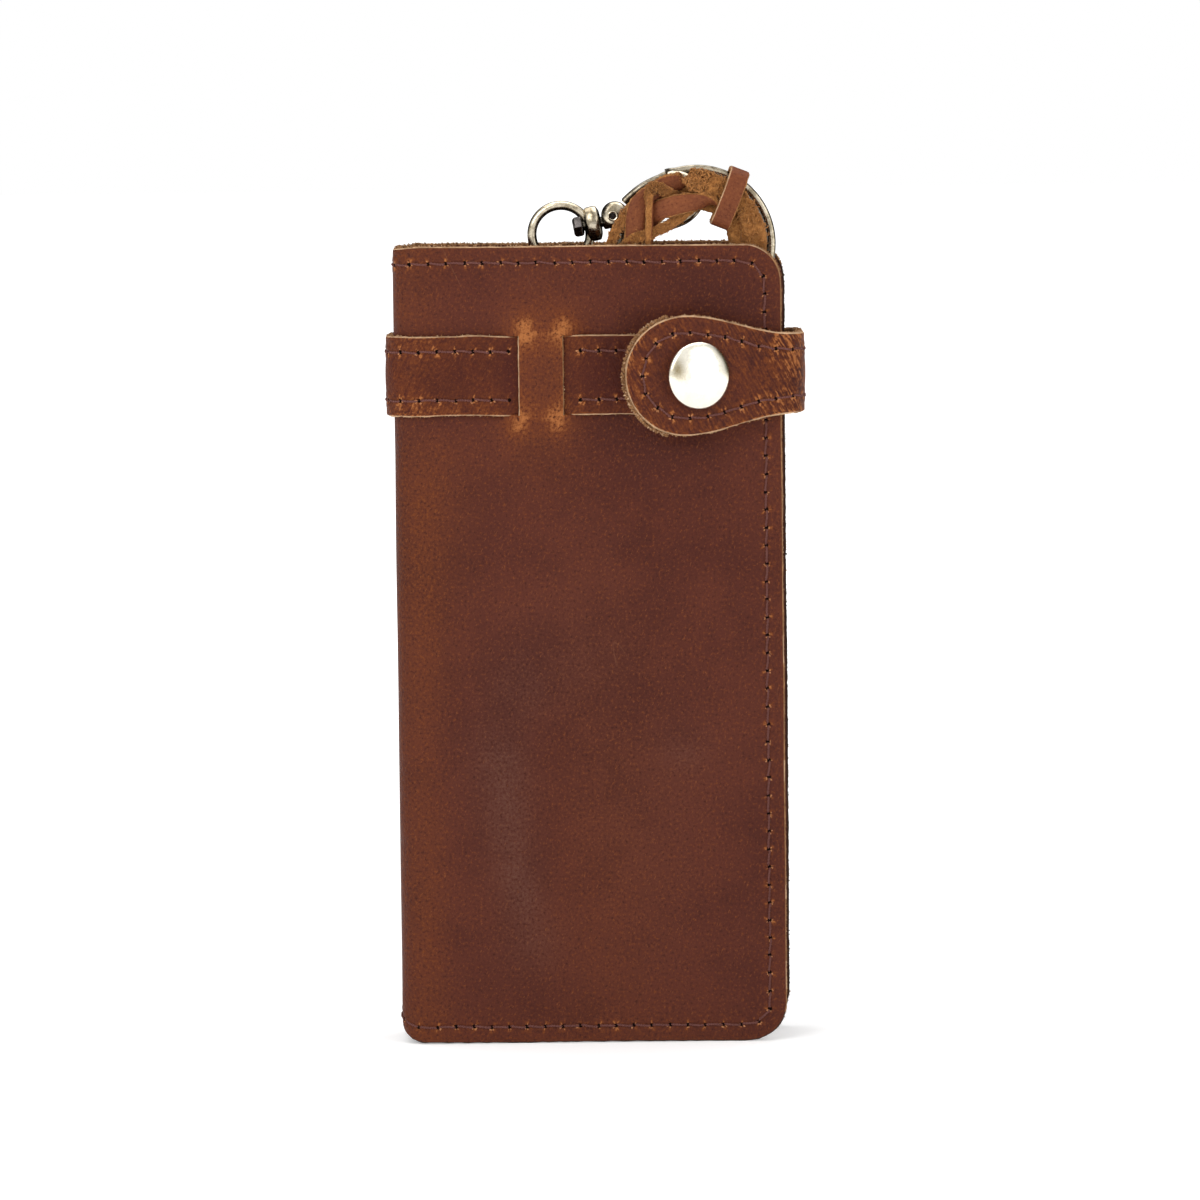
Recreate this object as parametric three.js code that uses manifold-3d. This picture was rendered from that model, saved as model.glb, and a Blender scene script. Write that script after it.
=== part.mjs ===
// Long leather wallet that folds like a book and stands on its short end.
// A belt-like strap runs under a bridge cut in the front cover, around the
// spine, across the back and around the open edge, where its paddle-shaped
// tab snaps on the front. Inside are card slots, a zipped coin pocket, a bill
// divider and a braided leather lanyard with a swivel hook and a split ring,
// tucked between the covers so that its top shows above the covers.
// Millimetres, +Z up, front towards -Y, spine at -X.

import * as THREE from 'three';
import { mergeVertices } from 'three/addons/utils/BufferGeometryUtils.js';
import Module from 'manifold-3d';

const wasm = await Module();
wasm.setup();

// ---------------------------------------------------------------- dimensions
const HEIGHT = 195;            // covers, bottom edge to top edge
const FRONT_Y = -13;           // outer face of the front cover
const BACK_Y = 13;             // outer face of the back cover
const COVER_T = 2.0;           // cover leather
const SPINE_X = -48;           // outer face of the spine
const COVER_LEFT = -45.6;      // covers start here, clear of the fold
const FRONT_RIGHT = 46.4;      // open edge of the front cover
const BACK_RIGHT = 47.8;       // open edge of the back cover
const CORNER_R = 9.2;          // rounded corners at the open edge

const STRAP_Z = 163.7;         // strap centre height
const STRAP_W = 19.4;          // strap width
const STRAP_T = 1.8;           // strap thickness
const STRAP_GAP = 0.3;         // strap to cover
const BRIDGE_X0 = -17.5;       // bridge in the front cover, left slit
const BRIDGE_X1 = -6.6;        // right slit
const BRIDGE_T = 1.6;          // bridge leather

const TAB_T = 2.2;             // snap tab thickness
const TAB_R = 14.4;            // paddle half width
const TAB_TIP_X = 8.3;         // tip of the tab
const SNAP_X = 25.6;           // snap centre
const CAP_R = 8.2;             // snap cap
const CAP_H = 2.7;

const RING_R = 18.4;           // split ring, wire centre radius
const RING_WIRE = 1.1;
const RING_C = [26.3, 7.7, 194.5];

const EYE_R = 7.1;             // swivel eye, wire centre radius
const EYE_WIRE = 1.15;
const EYE_C = [-6.9, 0.3, 197.4];
const HOOK_X = 1.2;            // hook and foot, measured from here along X
const HOOK_Y = 0.3;            // swivel axis of the hook passes here
const HOOK_Z = 200.0;
const HOOK_LEAN = 0.192;        // the swivel axis rises towards the hook
const HOOK_WIRE = 1.25;
const BODY_X = 5.4;            // round body of the hook, from the swivel's middle
const BODY_Z = 1.0;
const BODY_R = 3.3;
const PIN_X = 4.9;             // pivot rivet in the body
const PIN_Z = 0.95;

const KEEPER_C = [34.4, 0, 205.9]; // leather band round the braid and the ring
const KEEPER_W = 5.2;
const KEEPER_LEAN = 0.37;

const BRAID_W = 9.4;           // lanyard braid, width
const BRAID_T = 4.6;           // and thickness

const ZIP_X = 30;              // zip centre line, runs along Z
const ZIP_Z0 = 16;
const ZIP_Z1 = 146;
const TOOTH_PITCH = 3.25;

const CENTRE_X = 1.00;         // middle of the outer box, moved to the origin
const CENTRE_Y = -4.80;

// ----------------------------------------------------------------- materials
const mat = (color, roughness, metalness) =>
  new THREE.MeshStandardMaterial({ color, roughness, metalness });
const HIDE = mat(0x6a3620, 0.62, 0.0);
const HIDE_DARK = mat(0x54291a, 0.66, 0.0);
const SUEDE = mat(0x9a5e2c, 0.92, 0.0);
const LINING = mat(0x3a2a20, 0.85, 0.0);
const TAPE = mat(0x2b1c14, 0.9, 0.0);
const BRASS = mat(0x8d7a55, 0.32, 1.0);
const NICKEL = mat(0xd9d2bf, 0.25, 1.0);

// ------------------------------------------------------------------- helpers
const root = new THREE.Group();
const wallet = new THREE.Group();
wallet.position.set(-CENTRE_X, -CENTRE_Y, 0);
root.add(wallet);

function add(name, geometry, material) {
  const mesh = new THREE.Mesh(geometry, material);
  mesh.name = name;
  wallet.add(mesh);
  return mesh;
}

function solid(geometry) {
  const g = geometry.clone();
  for (const key of Object.keys(g.attributes)) if (key !== 'position') g.deleteAttribute(key);
  const m = mergeVertices(g, 1e-4);
  const src = m.index.array;
  const tri = [];
  for (let i = 0; i < src.length; i += 3) {
    const [a, b, c] = [src[i], src[i + 1], src[i + 2]];
    if (a !== b && b !== c && c !== a) tri.push(a, b, c);
  }
  return new wasm.Manifold(new wasm.Mesh({
    numProp: 3,
    vertProperties: new Float32Array(m.attributes.position.array),
    triVerts: new Uint32Array(tri),
  }));
}

function geometryOf(body) {
  const m = body.getMesh();
  const g = new THREE.BufferGeometry();
  g.setAttribute('position', new THREE.BufferAttribute(new Float32Array(m.vertProperties), 3));
  g.setIndex(new THREE.BufferAttribute(new Uint32Array(m.triVerts), 1));
  g.computeVertexNormals();
  return g;
}

function box(x0, x1, y0, y1, z0, z1) {
  return new THREE.BoxGeometry(x1 - x0, y1 - y0, z1 - z0)
    .translate((x0 + x1) / 2, (y0 + y1) / 2, (z0 + z1) / 2);
}

// Outline in X and Z pushed through from y0 to y1.
function slab(shape, y0, y1, curveSegments = 6) {
  return new THREE.ExtrudeGeometry(shape, { depth: y1 - y0, bevelEnabled: false, curveSegments })
    .rotateX(Math.PI / 2).translate(0, y1, 0);
}

// Square at the fold, round at the open edge.
function coverShape(x0, x1, z0, z1, r) {
  const s = new THREE.Shape();
  s.moveTo(x0, z0);
  s.lineTo(x1 - r, z0);
  s.absarc(x1 - r, z0 + r, r, -Math.PI / 2, 0, false);
  s.lineTo(x1, z1 - r);
  s.absarc(x1 - r, z1 - r, r, 0, Math.PI / 2, false);
  s.lineTo(x0, z1);
  s.closePath();
  return s;
}

// Turned part: profile points are [radius, height], the axis points to -Y.
function turned(profile, segments = 20) {
  return new THREE.LatheGeometry(profile.map(([r, h]) => new THREE.Vector2(r, h)), segments)
    .rotateX(Math.PI);
}

// Rod from a to b.
function rod(a, b, r, sides = 12) {
  const va = new THREE.Vector3(...a);
  const vb = new THREE.Vector3(...b);
  const dir = vb.clone().sub(va);
  const q = new THREE.Quaternion().setFromUnitVectors(
    new THREE.Vector3(0, 1, 0), dir.clone().normalize());
  return new THREE.CylinderGeometry(r, r, dir.length(), sides)
    .applyQuaternion(q).translate(...va.clone().add(vb).multiplyScalar(0.5).toArray());
}

// Round wire along points.
function wire(points, r, steps, sides = 8) {
  const path = new THREE.CatmullRomCurve3(points.map((p) => new THREE.Vector3(...p)));
  const s = new THREE.Shape();
  for (let i = 0; i < sides; i++) {
    const a = (2 * Math.PI * i) / sides;
    if (i === 0) s.moveTo(r * Math.cos(a), r * Math.sin(a));
    else s.lineTo(r * Math.cos(a), r * Math.sin(a));
  }
  s.closePath();
  return new THREE.ExtrudeGeometry(s, { steps, bevelEnabled: false, extrudePath: path });
}

// Strip of leather bent along a path in plan; half(x) gives its half width.
function bentStrip(curve, length, thickness, segments, zc, half) {
  const g = new THREE.BoxGeometry(1, thickness, 2, segments, 1, 1);
  const p = g.attributes.position;
  const t = new THREE.Vector3();
  for (let i = 0; i < p.count; i++) {
    const u = Math.min(1, Math.max(0, p.getX(i) + 0.5));
    const c = curve.getPointAt(u);
    curve.getTangentAt(u, t);
    const off = p.getY(i);
    p.setXYZ(i, c.x - t.y * off, c.y + t.x * off, zc + p.getZ(i) * half(u, c));
  }
  g.computeVertexNormals();
  return g;
}

// ------------------------------------------------------------- leather shell
const zTop = STRAP_Z + STRAP_W / 2;
const zBot = STRAP_Z - STRAP_W / 2;
const strapInner = FRONT_Y - STRAP_GAP;
const strapOuter = strapInner - STRAP_T;

const frontPanel = solid(slab(coverShape(COVER_LEFT, FRONT_RIGHT, 0, HEIGHT, CORNER_R),
  FRONT_Y, FRONT_Y + COVER_T));
const bridgeBlock = solid(box(BRIDGE_X0, BRIDGE_X1, strapOuter - 0.3 - BRIDGE_T, FRONT_Y + 0.5,
  zBot - 3.4, zTop + 3.4));
const strapTunnel = solid(box(BRIDGE_X0 - 5, BRIDGE_X1 + 5, strapOuter - 0.3, FRONT_Y,
  zBot - 0.4, zTop + 0.4));
add('front_cover', geometryOf(frontPanel.add(bridgeBlock).subtract(strapTunnel)), HIDE);

add('back_cover', slab(coverShape(COVER_LEFT, BACK_RIGHT, 0, HEIGHT, CORNER_R),
  BACK_Y - COVER_T, BACK_Y), HIDE);
add('spine_panel', box(SPINE_X, SPINE_X + COVER_T, -10.6, 10.6, 0, HEIGHT), HIDE);

// ------------------------------------------------------------------- strap
const strapEnd = new THREE.Shape();
strapEnd.moveTo(-45, zBot);
strapEnd.lineTo(31, zBot);
strapEnd.absarc(31, zBot + 6, 6, -Math.PI / 2, 0, false);
strapEnd.lineTo(37, zTop - 6);
strapEnd.absarc(31, zTop - 6, 6, 0, Math.PI / 2, false);
strapEnd.lineTo(-45, zTop);
strapEnd.closePath();
const strapFront = solid(slab(strapEnd, strapOuter, strapInner));
const studHole = solid(rod([SNAP_X, strapOuter - 2, STRAP_Z], [SNAP_X, strapInner + 0.2, STRAP_Z], 1.75, 16));
add('strap_front', geometryOf(strapFront.subtract(studHole)), HIDE_DARK);

add('strap_spine', box(SPINE_X - 0.4 - STRAP_T, SPINE_X - 0.4, -12, 12, zBot, zTop), HIDE_DARK);
add('strap_back', box(-45, 43.6, BACK_Y + STRAP_GAP, BACK_Y + STRAP_GAP + STRAP_T, zBot, zTop), HIDE_DARK);

// Snap tab: from the back, around the open edge, sloping up over the snap.
const tabPath = new THREE.CatmullRomCurve3([
  [45.4, 14.5], [48.0, 14.5], [50.2, 13.3], [51.0, 10.5], [51.0, 4], [51.0, -3],
  [50.9, -9.0], [49.6, -12.8], [46.2, -15.2], [41, -16.7], [34, -18.6], [25.6, -20.8],
  [17, -22.4], [TAB_TIP_X + 0.2, -23.3],
].map(([x, y]) => new THREE.Vector3(x, y, 0)), false, 'centripetal');
const tabCircleX = TAB_TIP_X + TAB_R;
function tabHalf(u, c) {
  if (u < 0.5) return STRAP_W / 2;
  if (c.x < tabCircleX) {
    const d = tabCircleX - c.x;
    return Math.max(2.2, Math.sqrt(Math.max(0, TAB_R * TAB_R - d * d)));
  }
  const k = Math.min(1, (c.x - tabCircleX) / (49 - tabCircleX));
  return TAB_R + (STRAP_W / 2 - TAB_R) * 0.5 * (1 - Math.cos(Math.PI * k));
}
// Where the path passes the snap, and the way it faces there.
let snapU = 0.5;
for (let u = 0.5; u <= 1; u += 0.0005) {
  if (tabPath.getPointAt(u).x <= SNAP_X) { snapU = u; break; }
}
const snapP = tabPath.getPointAt(snapU);
const snapT = tabPath.getTangentAt(snapU);
const snapTurn = Math.atan2(-snapT.y, -snapT.x);   // lean of the tab about Z
function onTab(geometry) {
  return geometry.rotateZ(snapTurn).translate(snapP.x, snapP.y, STRAP_Z);
}
const tab = solid(bentStrip(tabPath, 1, TAB_T, 44, STRAP_Z, tabHalf));
const capHole = solid(onTab(rod([0, -4, 0], [0, 4, 0], 1.95, 16)));
add('strap_tab', geometryOf(tab.subtract(capHole)), HIDE);

// Cap on the outside with its post through the tab, socket on the inside.
add('snap_cap', onTab(turned([
  [0, -TAB_T / 2 - 0.1], [1.55, -TAB_T / 2 - 0.1], [1.55, TAB_T / 2 + 0.25],
  [CAP_R - 0.5, TAB_T / 2 + 0.25], [CAP_R, TAB_T / 2 + 0.7], [CAP_R - 0.25, TAB_T / 2 + 1.3],
  [6.2, TAB_T / 2 + 2.1], [3.4, TAB_T / 2 + CAP_H - 0.15], [0, TAB_T / 2 + CAP_H],
], 28)), NICKEL);
add('snap_socket', onTab(turned([
  [3.5, -TAB_T / 2 - 1.7], [4.7, -TAB_T / 2 - 1.7], [5.2, -TAB_T / 2 - 1.1],
  [5.4, -TAB_T / 2 - 0.2], [3.5, -TAB_T / 2 - 0.2], [3.5, -TAB_T / 2 - 1.7],
], 24)), BRASS);
add('snap_stud', turned([
  [0, -STRAP_T], [1.45, -STRAP_T], [1.45, 0.2], [4.9, 0.2], [4.9, 0.75], [2.5, 1.1],
  [2.35, 2.0], [2.8, 2.7], [2.3, 3.3], [0, 3.5],
], 20).translate(SNAP_X, strapOuter, STRAP_Z), BRASS);

// ------------------------------------------------- inside of the front cover
add('card_backing', slab(coverShape(-42, 43.5, 5, 182, 7), -10.7, -9.7, 4), LINING);
add('card_slot_1', slab(coverShape(-34, 42.5, 7, 178, 6), -9.4, -8.6, 4), HIDE_DARK);
add('card_slot_2', slab(coverShape(-22, 42.5, 7, 178, 6), -8.3, -7.5, 4), HIDE_DARK);
add('card_slot_3', slab(coverShape(-10, 42.5, 7, 178, 6), -7.2, -6.4, 4), HIDE_DARK);

// -------------------------------------------------- inside of the back cover
add('bill_divider', slab(coverShape(-43.5, 45, 4, 172, 7), 9.3, 10.2, 4), LINING);
add('coin_pocket_lining', slab(coverShape(-42.5, 44, 7, 150, 6), 8.0, 8.9, 4), LINING);
add('coin_pocket_panel_wide', box(-42.5, ZIP_X - 3.5, 4.6, 5.8, 7, 150), HIDE_DARK);
add('coin_pocket_panel_narrow', slab(coverShape(ZIP_X + 3.5, 44, 7, 150, 6), 4.6, 5.8, 4), HIDE_DARK);
add('zip_tape_wide', box(ZIP_X - 9, ZIP_X - 0.15, 6.2, 6.7, 10, 148), TAPE);
add('zip_tape_narrow', box(ZIP_X + 0.15, ZIP_X + 9, 6.2, 6.7, 10, 148), TAPE);

// Tooth rows: two combs whose teeth lie in each other's gaps.
function comb(side) {
  const s = new THREE.Shape();
  const n = Math.floor((ZIP_Z1 - ZIP_Z0) / TOOTH_PITCH);
  const shift = side < 0 ? 0 : TOOTH_PITCH / 2;
  const pts = [[1.55, ZIP_Z0], [0.9, ZIP_Z0]];
  for (let i = 0; i < n; i++) {
    const z = ZIP_Z0 + 0.3 + shift + i * TOOTH_PITCH;
    if (z + 1.2 > ZIP_Z1) break;
    pts.push([0.9, z], [-0.45, z + 0.12], [-0.45, z + 1.02], [0.9, z + 1.14]);
  }
  pts.push([0.9, ZIP_Z1], [1.55, ZIP_Z1]);
  const ordered = pts.map(([d, z]) => [ZIP_X + side * d, z]);
  if (side > 0) ordered.reverse();
  ordered.forEach(([x, z], i) => (i ? s.lineTo(x, z) : s.moveTo(x, z)));
  s.closePath();
  return slab(s, 4.9, 5.9, 1);
}
add('zip_teeth_wide', comb(-1), BRASS);
add('zip_teeth_narrow', comb(1), BRASS);
add('zip_bottom_stop', box(ZIP_X - 1.8, ZIP_X + 1.8, 4.6, 5.9, 12.6, 15.6), BRASS);
add('zip_top_stop', box(ZIP_X - 1.8, ZIP_X + 1.8, 4.6, 5.9, 146.4, 148.6), BRASS);

// Slider with its bail, and the pull that hangs from the bail.
const sliderZ = 22.5;
const sliderOutline = new THREE.Shape();
[[-1.9, -4.5], [1.9, -4.5], [2.9, -1.5], [2.9, 3.2], [1.6, 4.6], [-1.6, 4.6], [-2.9, 3.2], [-2.9, -1.5]]
  .forEach(([x, z], i) => (i ? sliderOutline.lineTo(ZIP_X + x, sliderZ + z)
    : sliderOutline.moveTo(ZIP_X + x, sliderZ + z)));
sliderOutline.closePath();
const sliderBody = solid(slab(sliderOutline, 3.0, 5.6))
  .subtract(solid(box(ZIP_X - 2.0, ZIP_X + 2.0, 4.4, 7, sliderZ - 9, sliderZ + 9)));
const bail = solid(box(ZIP_X - 1.4, ZIP_X + 1.4, -0.1, 3.4, sliderZ - 2.5, sliderZ + 2.5))
  .subtract(solid(box(ZIP_X - 3, ZIP_X + 3, 0.8, 2.8, sliderZ - 1.5, sliderZ + 1.5)));
add('zip_slider', geometryOf(sliderBody.add(bail)), BRASS);
const pullShape = new THREE.Shape();
pullShape.moveTo(ZIP_X - 3.2, sliderZ + 0.5);
pullShape.lineTo(ZIP_X - 3.2, sliderZ - 9);
pullShape.lineTo(ZIP_X - 2.4, sliderZ - 12.4);
pullShape.absarc(ZIP_X, sliderZ - 12.4, 2.4, Math.PI, 2 * Math.PI, false);
pullShape.lineTo(ZIP_X + 3.2, sliderZ - 9);
pullShape.lineTo(ZIP_X + 3.2, sliderZ + 0.5);
pullShape.closePath();
const pullSlot = new THREE.Path();
pullSlot.moveTo(ZIP_X - 1.9, sliderZ - 0.5);
pullSlot.lineTo(ZIP_X + 1.9, sliderZ - 0.5);
pullSlot.lineTo(ZIP_X + 1.9, sliderZ - 4.4);
pullSlot.lineTo(ZIP_X - 1.9, sliderZ - 4.4);
pullSlot.closePath();
pullShape.holes.push(pullSlot);
add('zip_pull', slab(pullShape, 1.3, 2.3, 5), BRASS);

// -------------------------------------------------------------- swivel hook
// Eye: a round bow with a flat foot that the hook's shank turns in.
const eyeBow = solid(new THREE.TorusGeometry(EYE_R, EYE_WIRE, 8, 28)
  .rotateX(Math.PI / 2).translate(...EYE_C));
const leaned = (geometry) => geometry.translate(0, 0, -HOOK_Z).rotateY(-HOOK_LEAN).translate(HOOK_X, 0, HOOK_Z);
const eyeFoot = solid(leaned(box(-2.3, 1.8, HOOK_Y - 2.3, HOOK_Y + 2.3, HOOK_Z - 4.3, HOOK_Z + 4.3)));
const eyeBore = solid(leaned(rod([-6.0, HOOK_Y, HOOK_Z], [4, HOOK_Y, HOOK_Z], 1.65, 16)));
const headRoom = solid(leaned(rod([-6.2, HOOK_Y, HOOK_Z], [-2.3, HOOK_Y, HOOK_Z], 3.1, 16)));
add('swivel_eye', geometryOf(eyeBow.add(eyeFoot).subtract(eyeBore).subtract(headRoom)), BRASS);

// Hook: riveted shank, a round flat body on a neck, and a bow that ends short of the gate.
const shank = solid(rod([-3.2, HOOK_Y, HOOK_Z], [3.0, HOOK_Y, HOOK_Z], 1.3, 14));
const rivetHead = solid(rod([-5.2, HOOK_Y, HOOK_Z], [-2.65, HOOK_Y, HOOK_Z], 2.6, 14));
const neck = solid(rod([2.15, HOOK_Y, HOOK_Z], [4.0, HOOK_Y, HOOK_Z], 2.0, 14));
const round = solid(rod([BODY_X, HOOK_Y - 2.5, HOOK_Z + BODY_Z], [BODY_X, HOOK_Y + 2.5, HOOK_Z + BODY_Z], BODY_R, 24));
const bow = solid(wire([
  [4.2, HOOK_Y, HOOK_Z - 1.2], [7.5, HOOK_Y, HOOK_Z - 3.0], [12, HOOK_Y, HOOK_Z - 4.0],
  [17.4, HOOK_Y, HOOK_Z - 4.1], [22.6, HOOK_Y, HOOK_Z - 3.2], [25.8, HOOK_Y, HOOK_Z - 0.6],
  [26.2, HOOK_Y, HOOK_Z + 3.2], [24.0, HOOK_Y, HOOK_Z + 6.6], [20.0, HOOK_Y, HOOK_Z + 8.0],
], HOOK_WIRE, 26));
const pinBore = solid(rod([PIN_X, HOOK_Y - 5, HOOK_Z + PIN_Z], [PIN_X, HOOK_Y + 5, HOOK_Z + PIN_Z], 1.2, 14));
add('hook_body', leaned(geometryOf(shank.add(rivetHead).add(neck).add(round).add(bow).subtract(pinBore))), BRASS);
add('hook_rivet', leaned(rod([PIN_X, HOOK_Y - 3.6, HOOK_Z + PIN_Z], [PIN_X, HOOK_Y + 3.6, HOOK_Z + PIN_Z], 0.9, 14)), BRASS);
const gateBar = solid(wire([
  [9.0, HOOK_Y, HOOK_Z + 4.1], [11.2, HOOK_Y, HOOK_Z + 5.4], [14.2, HOOK_Y, HOOK_Z + 6.7], [18.6, HOOK_Y, HOOK_Z + 7.8],
], 1.0, 14));
const gateLug = solid(box(9.2, 10.6, HOOK_Y - 0.7, HOOK_Y + 0.7, HOOK_Z + 1.6, HOOK_Z + 4.7));
add('hook_gate', leaned(geometryOf(gateBar.add(gateLug))), BRASS);

// --------------------------------------------------------- ring and lanyard
add('split_ring', new THREE.TorusGeometry(RING_R, RING_WIRE, 8, 44)
  .rotateX(Math.PI / 2).translate(...RING_C), BRASS);

// Leather band around the braid and the ring's wire.
const band = new THREE.Shape();
function stadium(target, y0, y1, z0, z1, r, reverse) {
  const pts = [];
  const corner = (cy, cz, a0) => {
    for (let i = 0; i <= 4; i++) {
      const a = a0 + (Math.PI / 2) * (i / 4);
      pts.push([cy + r * Math.cos(a), cz + r * Math.sin(a)]);
    }
  };
  corner(y1 - r, z0 + r, -Math.PI / 2);
  corner(y1 - r, z1 - r, 0);
  corner(y0 + r, z1 - r, Math.PI / 2);
  corner(y0 + r, z0 + r, Math.PI);
  if (reverse) pts.reverse();
  pts.forEach(([y, z], i) => (i ? target.lineTo(y, z) : target.moveTo(y, z)));
  target.closePath();
}
stadium(band, -12.4, 10.9, -7.4, 7.4, 3.0, false);
const bandHole = new THREE.Path();
stadium(bandHole, -11.3, 9.8, -6.3, 6.3, 1.8, true);
band.holes.push(bandHole);
// Outline in Y and Z, pushed along X, leaning to the open edge.
const bandGeometry = new THREE.ExtrudeGeometry(band, { depth: KEEPER_W, bevelEnabled: false })
  .applyMatrix4(new THREE.Matrix4().set(0, 0, 1, -KEEPER_W / 2, 1, 0, 0, 0, 0, 1, 0, 0, 0, 0, 0, 1))
  .rotateY(KEEPER_LEAN).translate(...KEEPER_C);
add('ring_keeper', bandGeometry, HIDE);

add('lanyard_anchor', box(18.5, 31.5, 6.6, 9.0, 153, 171.5), HIDE_DARK);

// Braid: from the anchor up inside the open edge, over the top in an arch,
// down inside, round a wide turn and up to the swivel eye.
const braidPath = new THREE.CatmullRomCurve3([
  [25.0, 3.9, 160.0], [26.2, 3.6, 168.0], [30.5, 1.4, 177.0], [35.8, -3.4, 186.0],
  [39.0, -7.6, 193.5], [39.7, -8.2, 198.8], [38.3, -8.3, 203.2], [34.8, -8.3, 206.0],
  [29.0, -8.3, 207.3], [22.6, -8.3, 206.7], [16.6, -8.3, 204.2], [12.2, -8.3, 199.8],
  [9.4, -7.9, 193.5], [7.0, -4.4, 184.0], [4.6, -1.6, 174.0], [3.0, -0.8, 163.0], [1.0, -0.6, 150.0],
  [-3.6, -0.6, 140.0], [-12.0, -0.6, 133.8], [-20.6, -0.6, 136.0], [-27.0, -0.6, 143.0], [-29.8, -0.6, 152.0],
  [-28.4, -0.5, 162.0], [-22.8, -0.2, 171.0], [-15.0, 0.1, 179.0], [-9.6, 0.3, 188.0],
].map((p) => new THREE.Vector3(...p)), false, 'centripetal');
const BRAID_STEPS = 78;
const braid = new THREE.BoxGeometry(1, BRAID_T, BRAID_W, BRAID_STEPS, 1, 1);
{
  const p = braid.attributes.position;
  const t = new THREE.Vector3();
  const n = new THREE.Vector3();
  const b = new THREE.Vector3();
  for (let i = 0; i < p.count; i++) {
    const u = Math.min(1, Math.max(0, p.getX(i) + 0.5));
    const c = braidPath.getPointAt(u);
    braidPath.getTangentAt(u, t);
    n.set(0, 1, 0).addScaledVector(t, -t.y).normalize();
    b.crossVectors(t, n);
    c.addScaledVector(n, p.getY(i)).addScaledVector(b, p.getZ(i));
    p.setXYZ(i, c.x, c.y, c.z);
  }
  braid.computeVertexNormals();
}
add('lanyard_braid', braid, SUEDE);

export default root;
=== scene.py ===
import math
import random

import bpy
import numpy as np
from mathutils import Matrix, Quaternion, Vector, noise
from mathutils.bvhtree import BVHTree


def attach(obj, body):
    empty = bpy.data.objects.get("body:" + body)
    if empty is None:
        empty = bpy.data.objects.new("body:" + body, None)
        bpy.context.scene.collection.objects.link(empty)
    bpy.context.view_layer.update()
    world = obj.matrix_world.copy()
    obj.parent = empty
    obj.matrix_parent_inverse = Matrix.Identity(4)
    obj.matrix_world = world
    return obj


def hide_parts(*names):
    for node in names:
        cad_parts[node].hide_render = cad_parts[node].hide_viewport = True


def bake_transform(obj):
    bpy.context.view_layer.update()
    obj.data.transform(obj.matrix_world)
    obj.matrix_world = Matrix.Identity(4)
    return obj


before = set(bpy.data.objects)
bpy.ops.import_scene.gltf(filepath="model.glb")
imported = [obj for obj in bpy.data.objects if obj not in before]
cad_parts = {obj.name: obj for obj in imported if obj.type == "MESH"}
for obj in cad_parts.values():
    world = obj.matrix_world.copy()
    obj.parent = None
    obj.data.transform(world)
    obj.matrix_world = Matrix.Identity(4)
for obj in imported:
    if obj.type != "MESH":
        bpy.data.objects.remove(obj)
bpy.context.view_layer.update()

# Everything below is laid out in the wallet's own millimetres and put into the frame by to_frame().
SHIFT = np.array([1.0, -4.8, 0.0])

HEIGHT = 195.0          # covers, along Z
FRONT_RIGHT = 46.4      # open edge of the front cover
BACK_RIGHT = 47.8       # open edge of the back cover
HIDE_T = 2.0            # cover leather
HIDE_Y = 12.0           # middle of the cover leather, front at -Y and back at +Y
SPINE_X = -47.0         # middle of the spine leather
FOLD_R = 5.5            # bend of the cover leather at the spine
CORNER_R = 9.2          # round corners at the open edge
SEAM = 4.0              # stitch line to cut edge
PITCH = 4.36            # stitch length
STRAP_Z = 163.7
STRAP_HALF = 9.7
STRAP_T = 1.8
BRIDGE_X0, BRIDGE_X1 = -17.5, -6.6
BRIDGE_LIFT = 2.9
SLIT_HALF = 10.2


def to_frame(co):
    return (np.asarray(co, float).reshape(-1, 3) - SHIFT) * 0.001


def smooth(a, b, x):
    t = np.clip((np.asarray(x, float) - a) / (b - a), 0.0, 1.0)
    return t * t * (3 - 2 * t)


def unit(v):
    v = np.asarray(v, float)
    n = np.linalg.norm(v, axis=-1, keepdims=True)
    return v / np.where(n < 1e-12, 1.0, n)


# ---------------------------------------------------------------- meshes

class Build:
    """Gathers vertices, faces, material numbers and values for the shaders into one mesh."""

    def __init__(self):
        self.co, self.flat, self.pull, self.bloom_and_painted_light = [], [], [], []
        self.faces, self.mat = [], []
        self.count = 0
        self.skin = None

    def add(self, co, faces, mat, flat=None, pull=None, bloom_and_painted_light=None):
        co = np.asarray(co, float).reshape(-1, 3)
        n = len(co)
        base = self.count
        self.co.append(co)
        self.flat.append(co if flat is None else np.asarray(flat, float).reshape(-1, 3))
        self.pull.append(np.zeros(n) if pull is None else np.broadcast_to(np.asarray(pull, float), (n,)))
        self.bloom_and_painted_light.append(np.zeros(n) if bloom_and_painted_light is None else np.broadcast_to(np.asarray(bloom_and_painted_light, float), (n,)))
        self.faces += [tuple(base + i for i in f) for f in faces]
        self.mat += [mat] * len(faces) if isinstance(mat, int) else list(mat)
        self.count += n
        return base

    def make(self, name, materials, sharp=42.0):
        mesh = bpy.data.meshes.new(name)
        mesh.from_pydata(to_frame(np.concatenate(self.co)).tolist(), [], self.faces)
        for m in materials:
            mesh.materials.append(m)
        mesh.polygons.foreach_set("material_index", np.array(self.mat, np.int32))
        flat = mesh.attributes.new("flat", "FLOAT_VECTOR", "POINT")
        flat.data.foreach_set("vector", np.concatenate(self.flat).astype(np.float32).ravel())
        for key, values in (("pull", self.pull), ("bloom_and_painted_light", self.bloom_and_painted_light)):
            a = mesh.attributes.new(key, "FLOAT", "POINT")
            a.data.foreach_set("value", np.concatenate(values).astype(np.float32))
        mesh.validate()
        mesh.shade_smooth()
        mesh.set_sharp_from_angle(angle=math.radians(sharp))
        obj = bpy.data.objects.new(name, mesh)
        bpy.context.scene.collection.objects.link(obj)
        return obj


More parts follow.
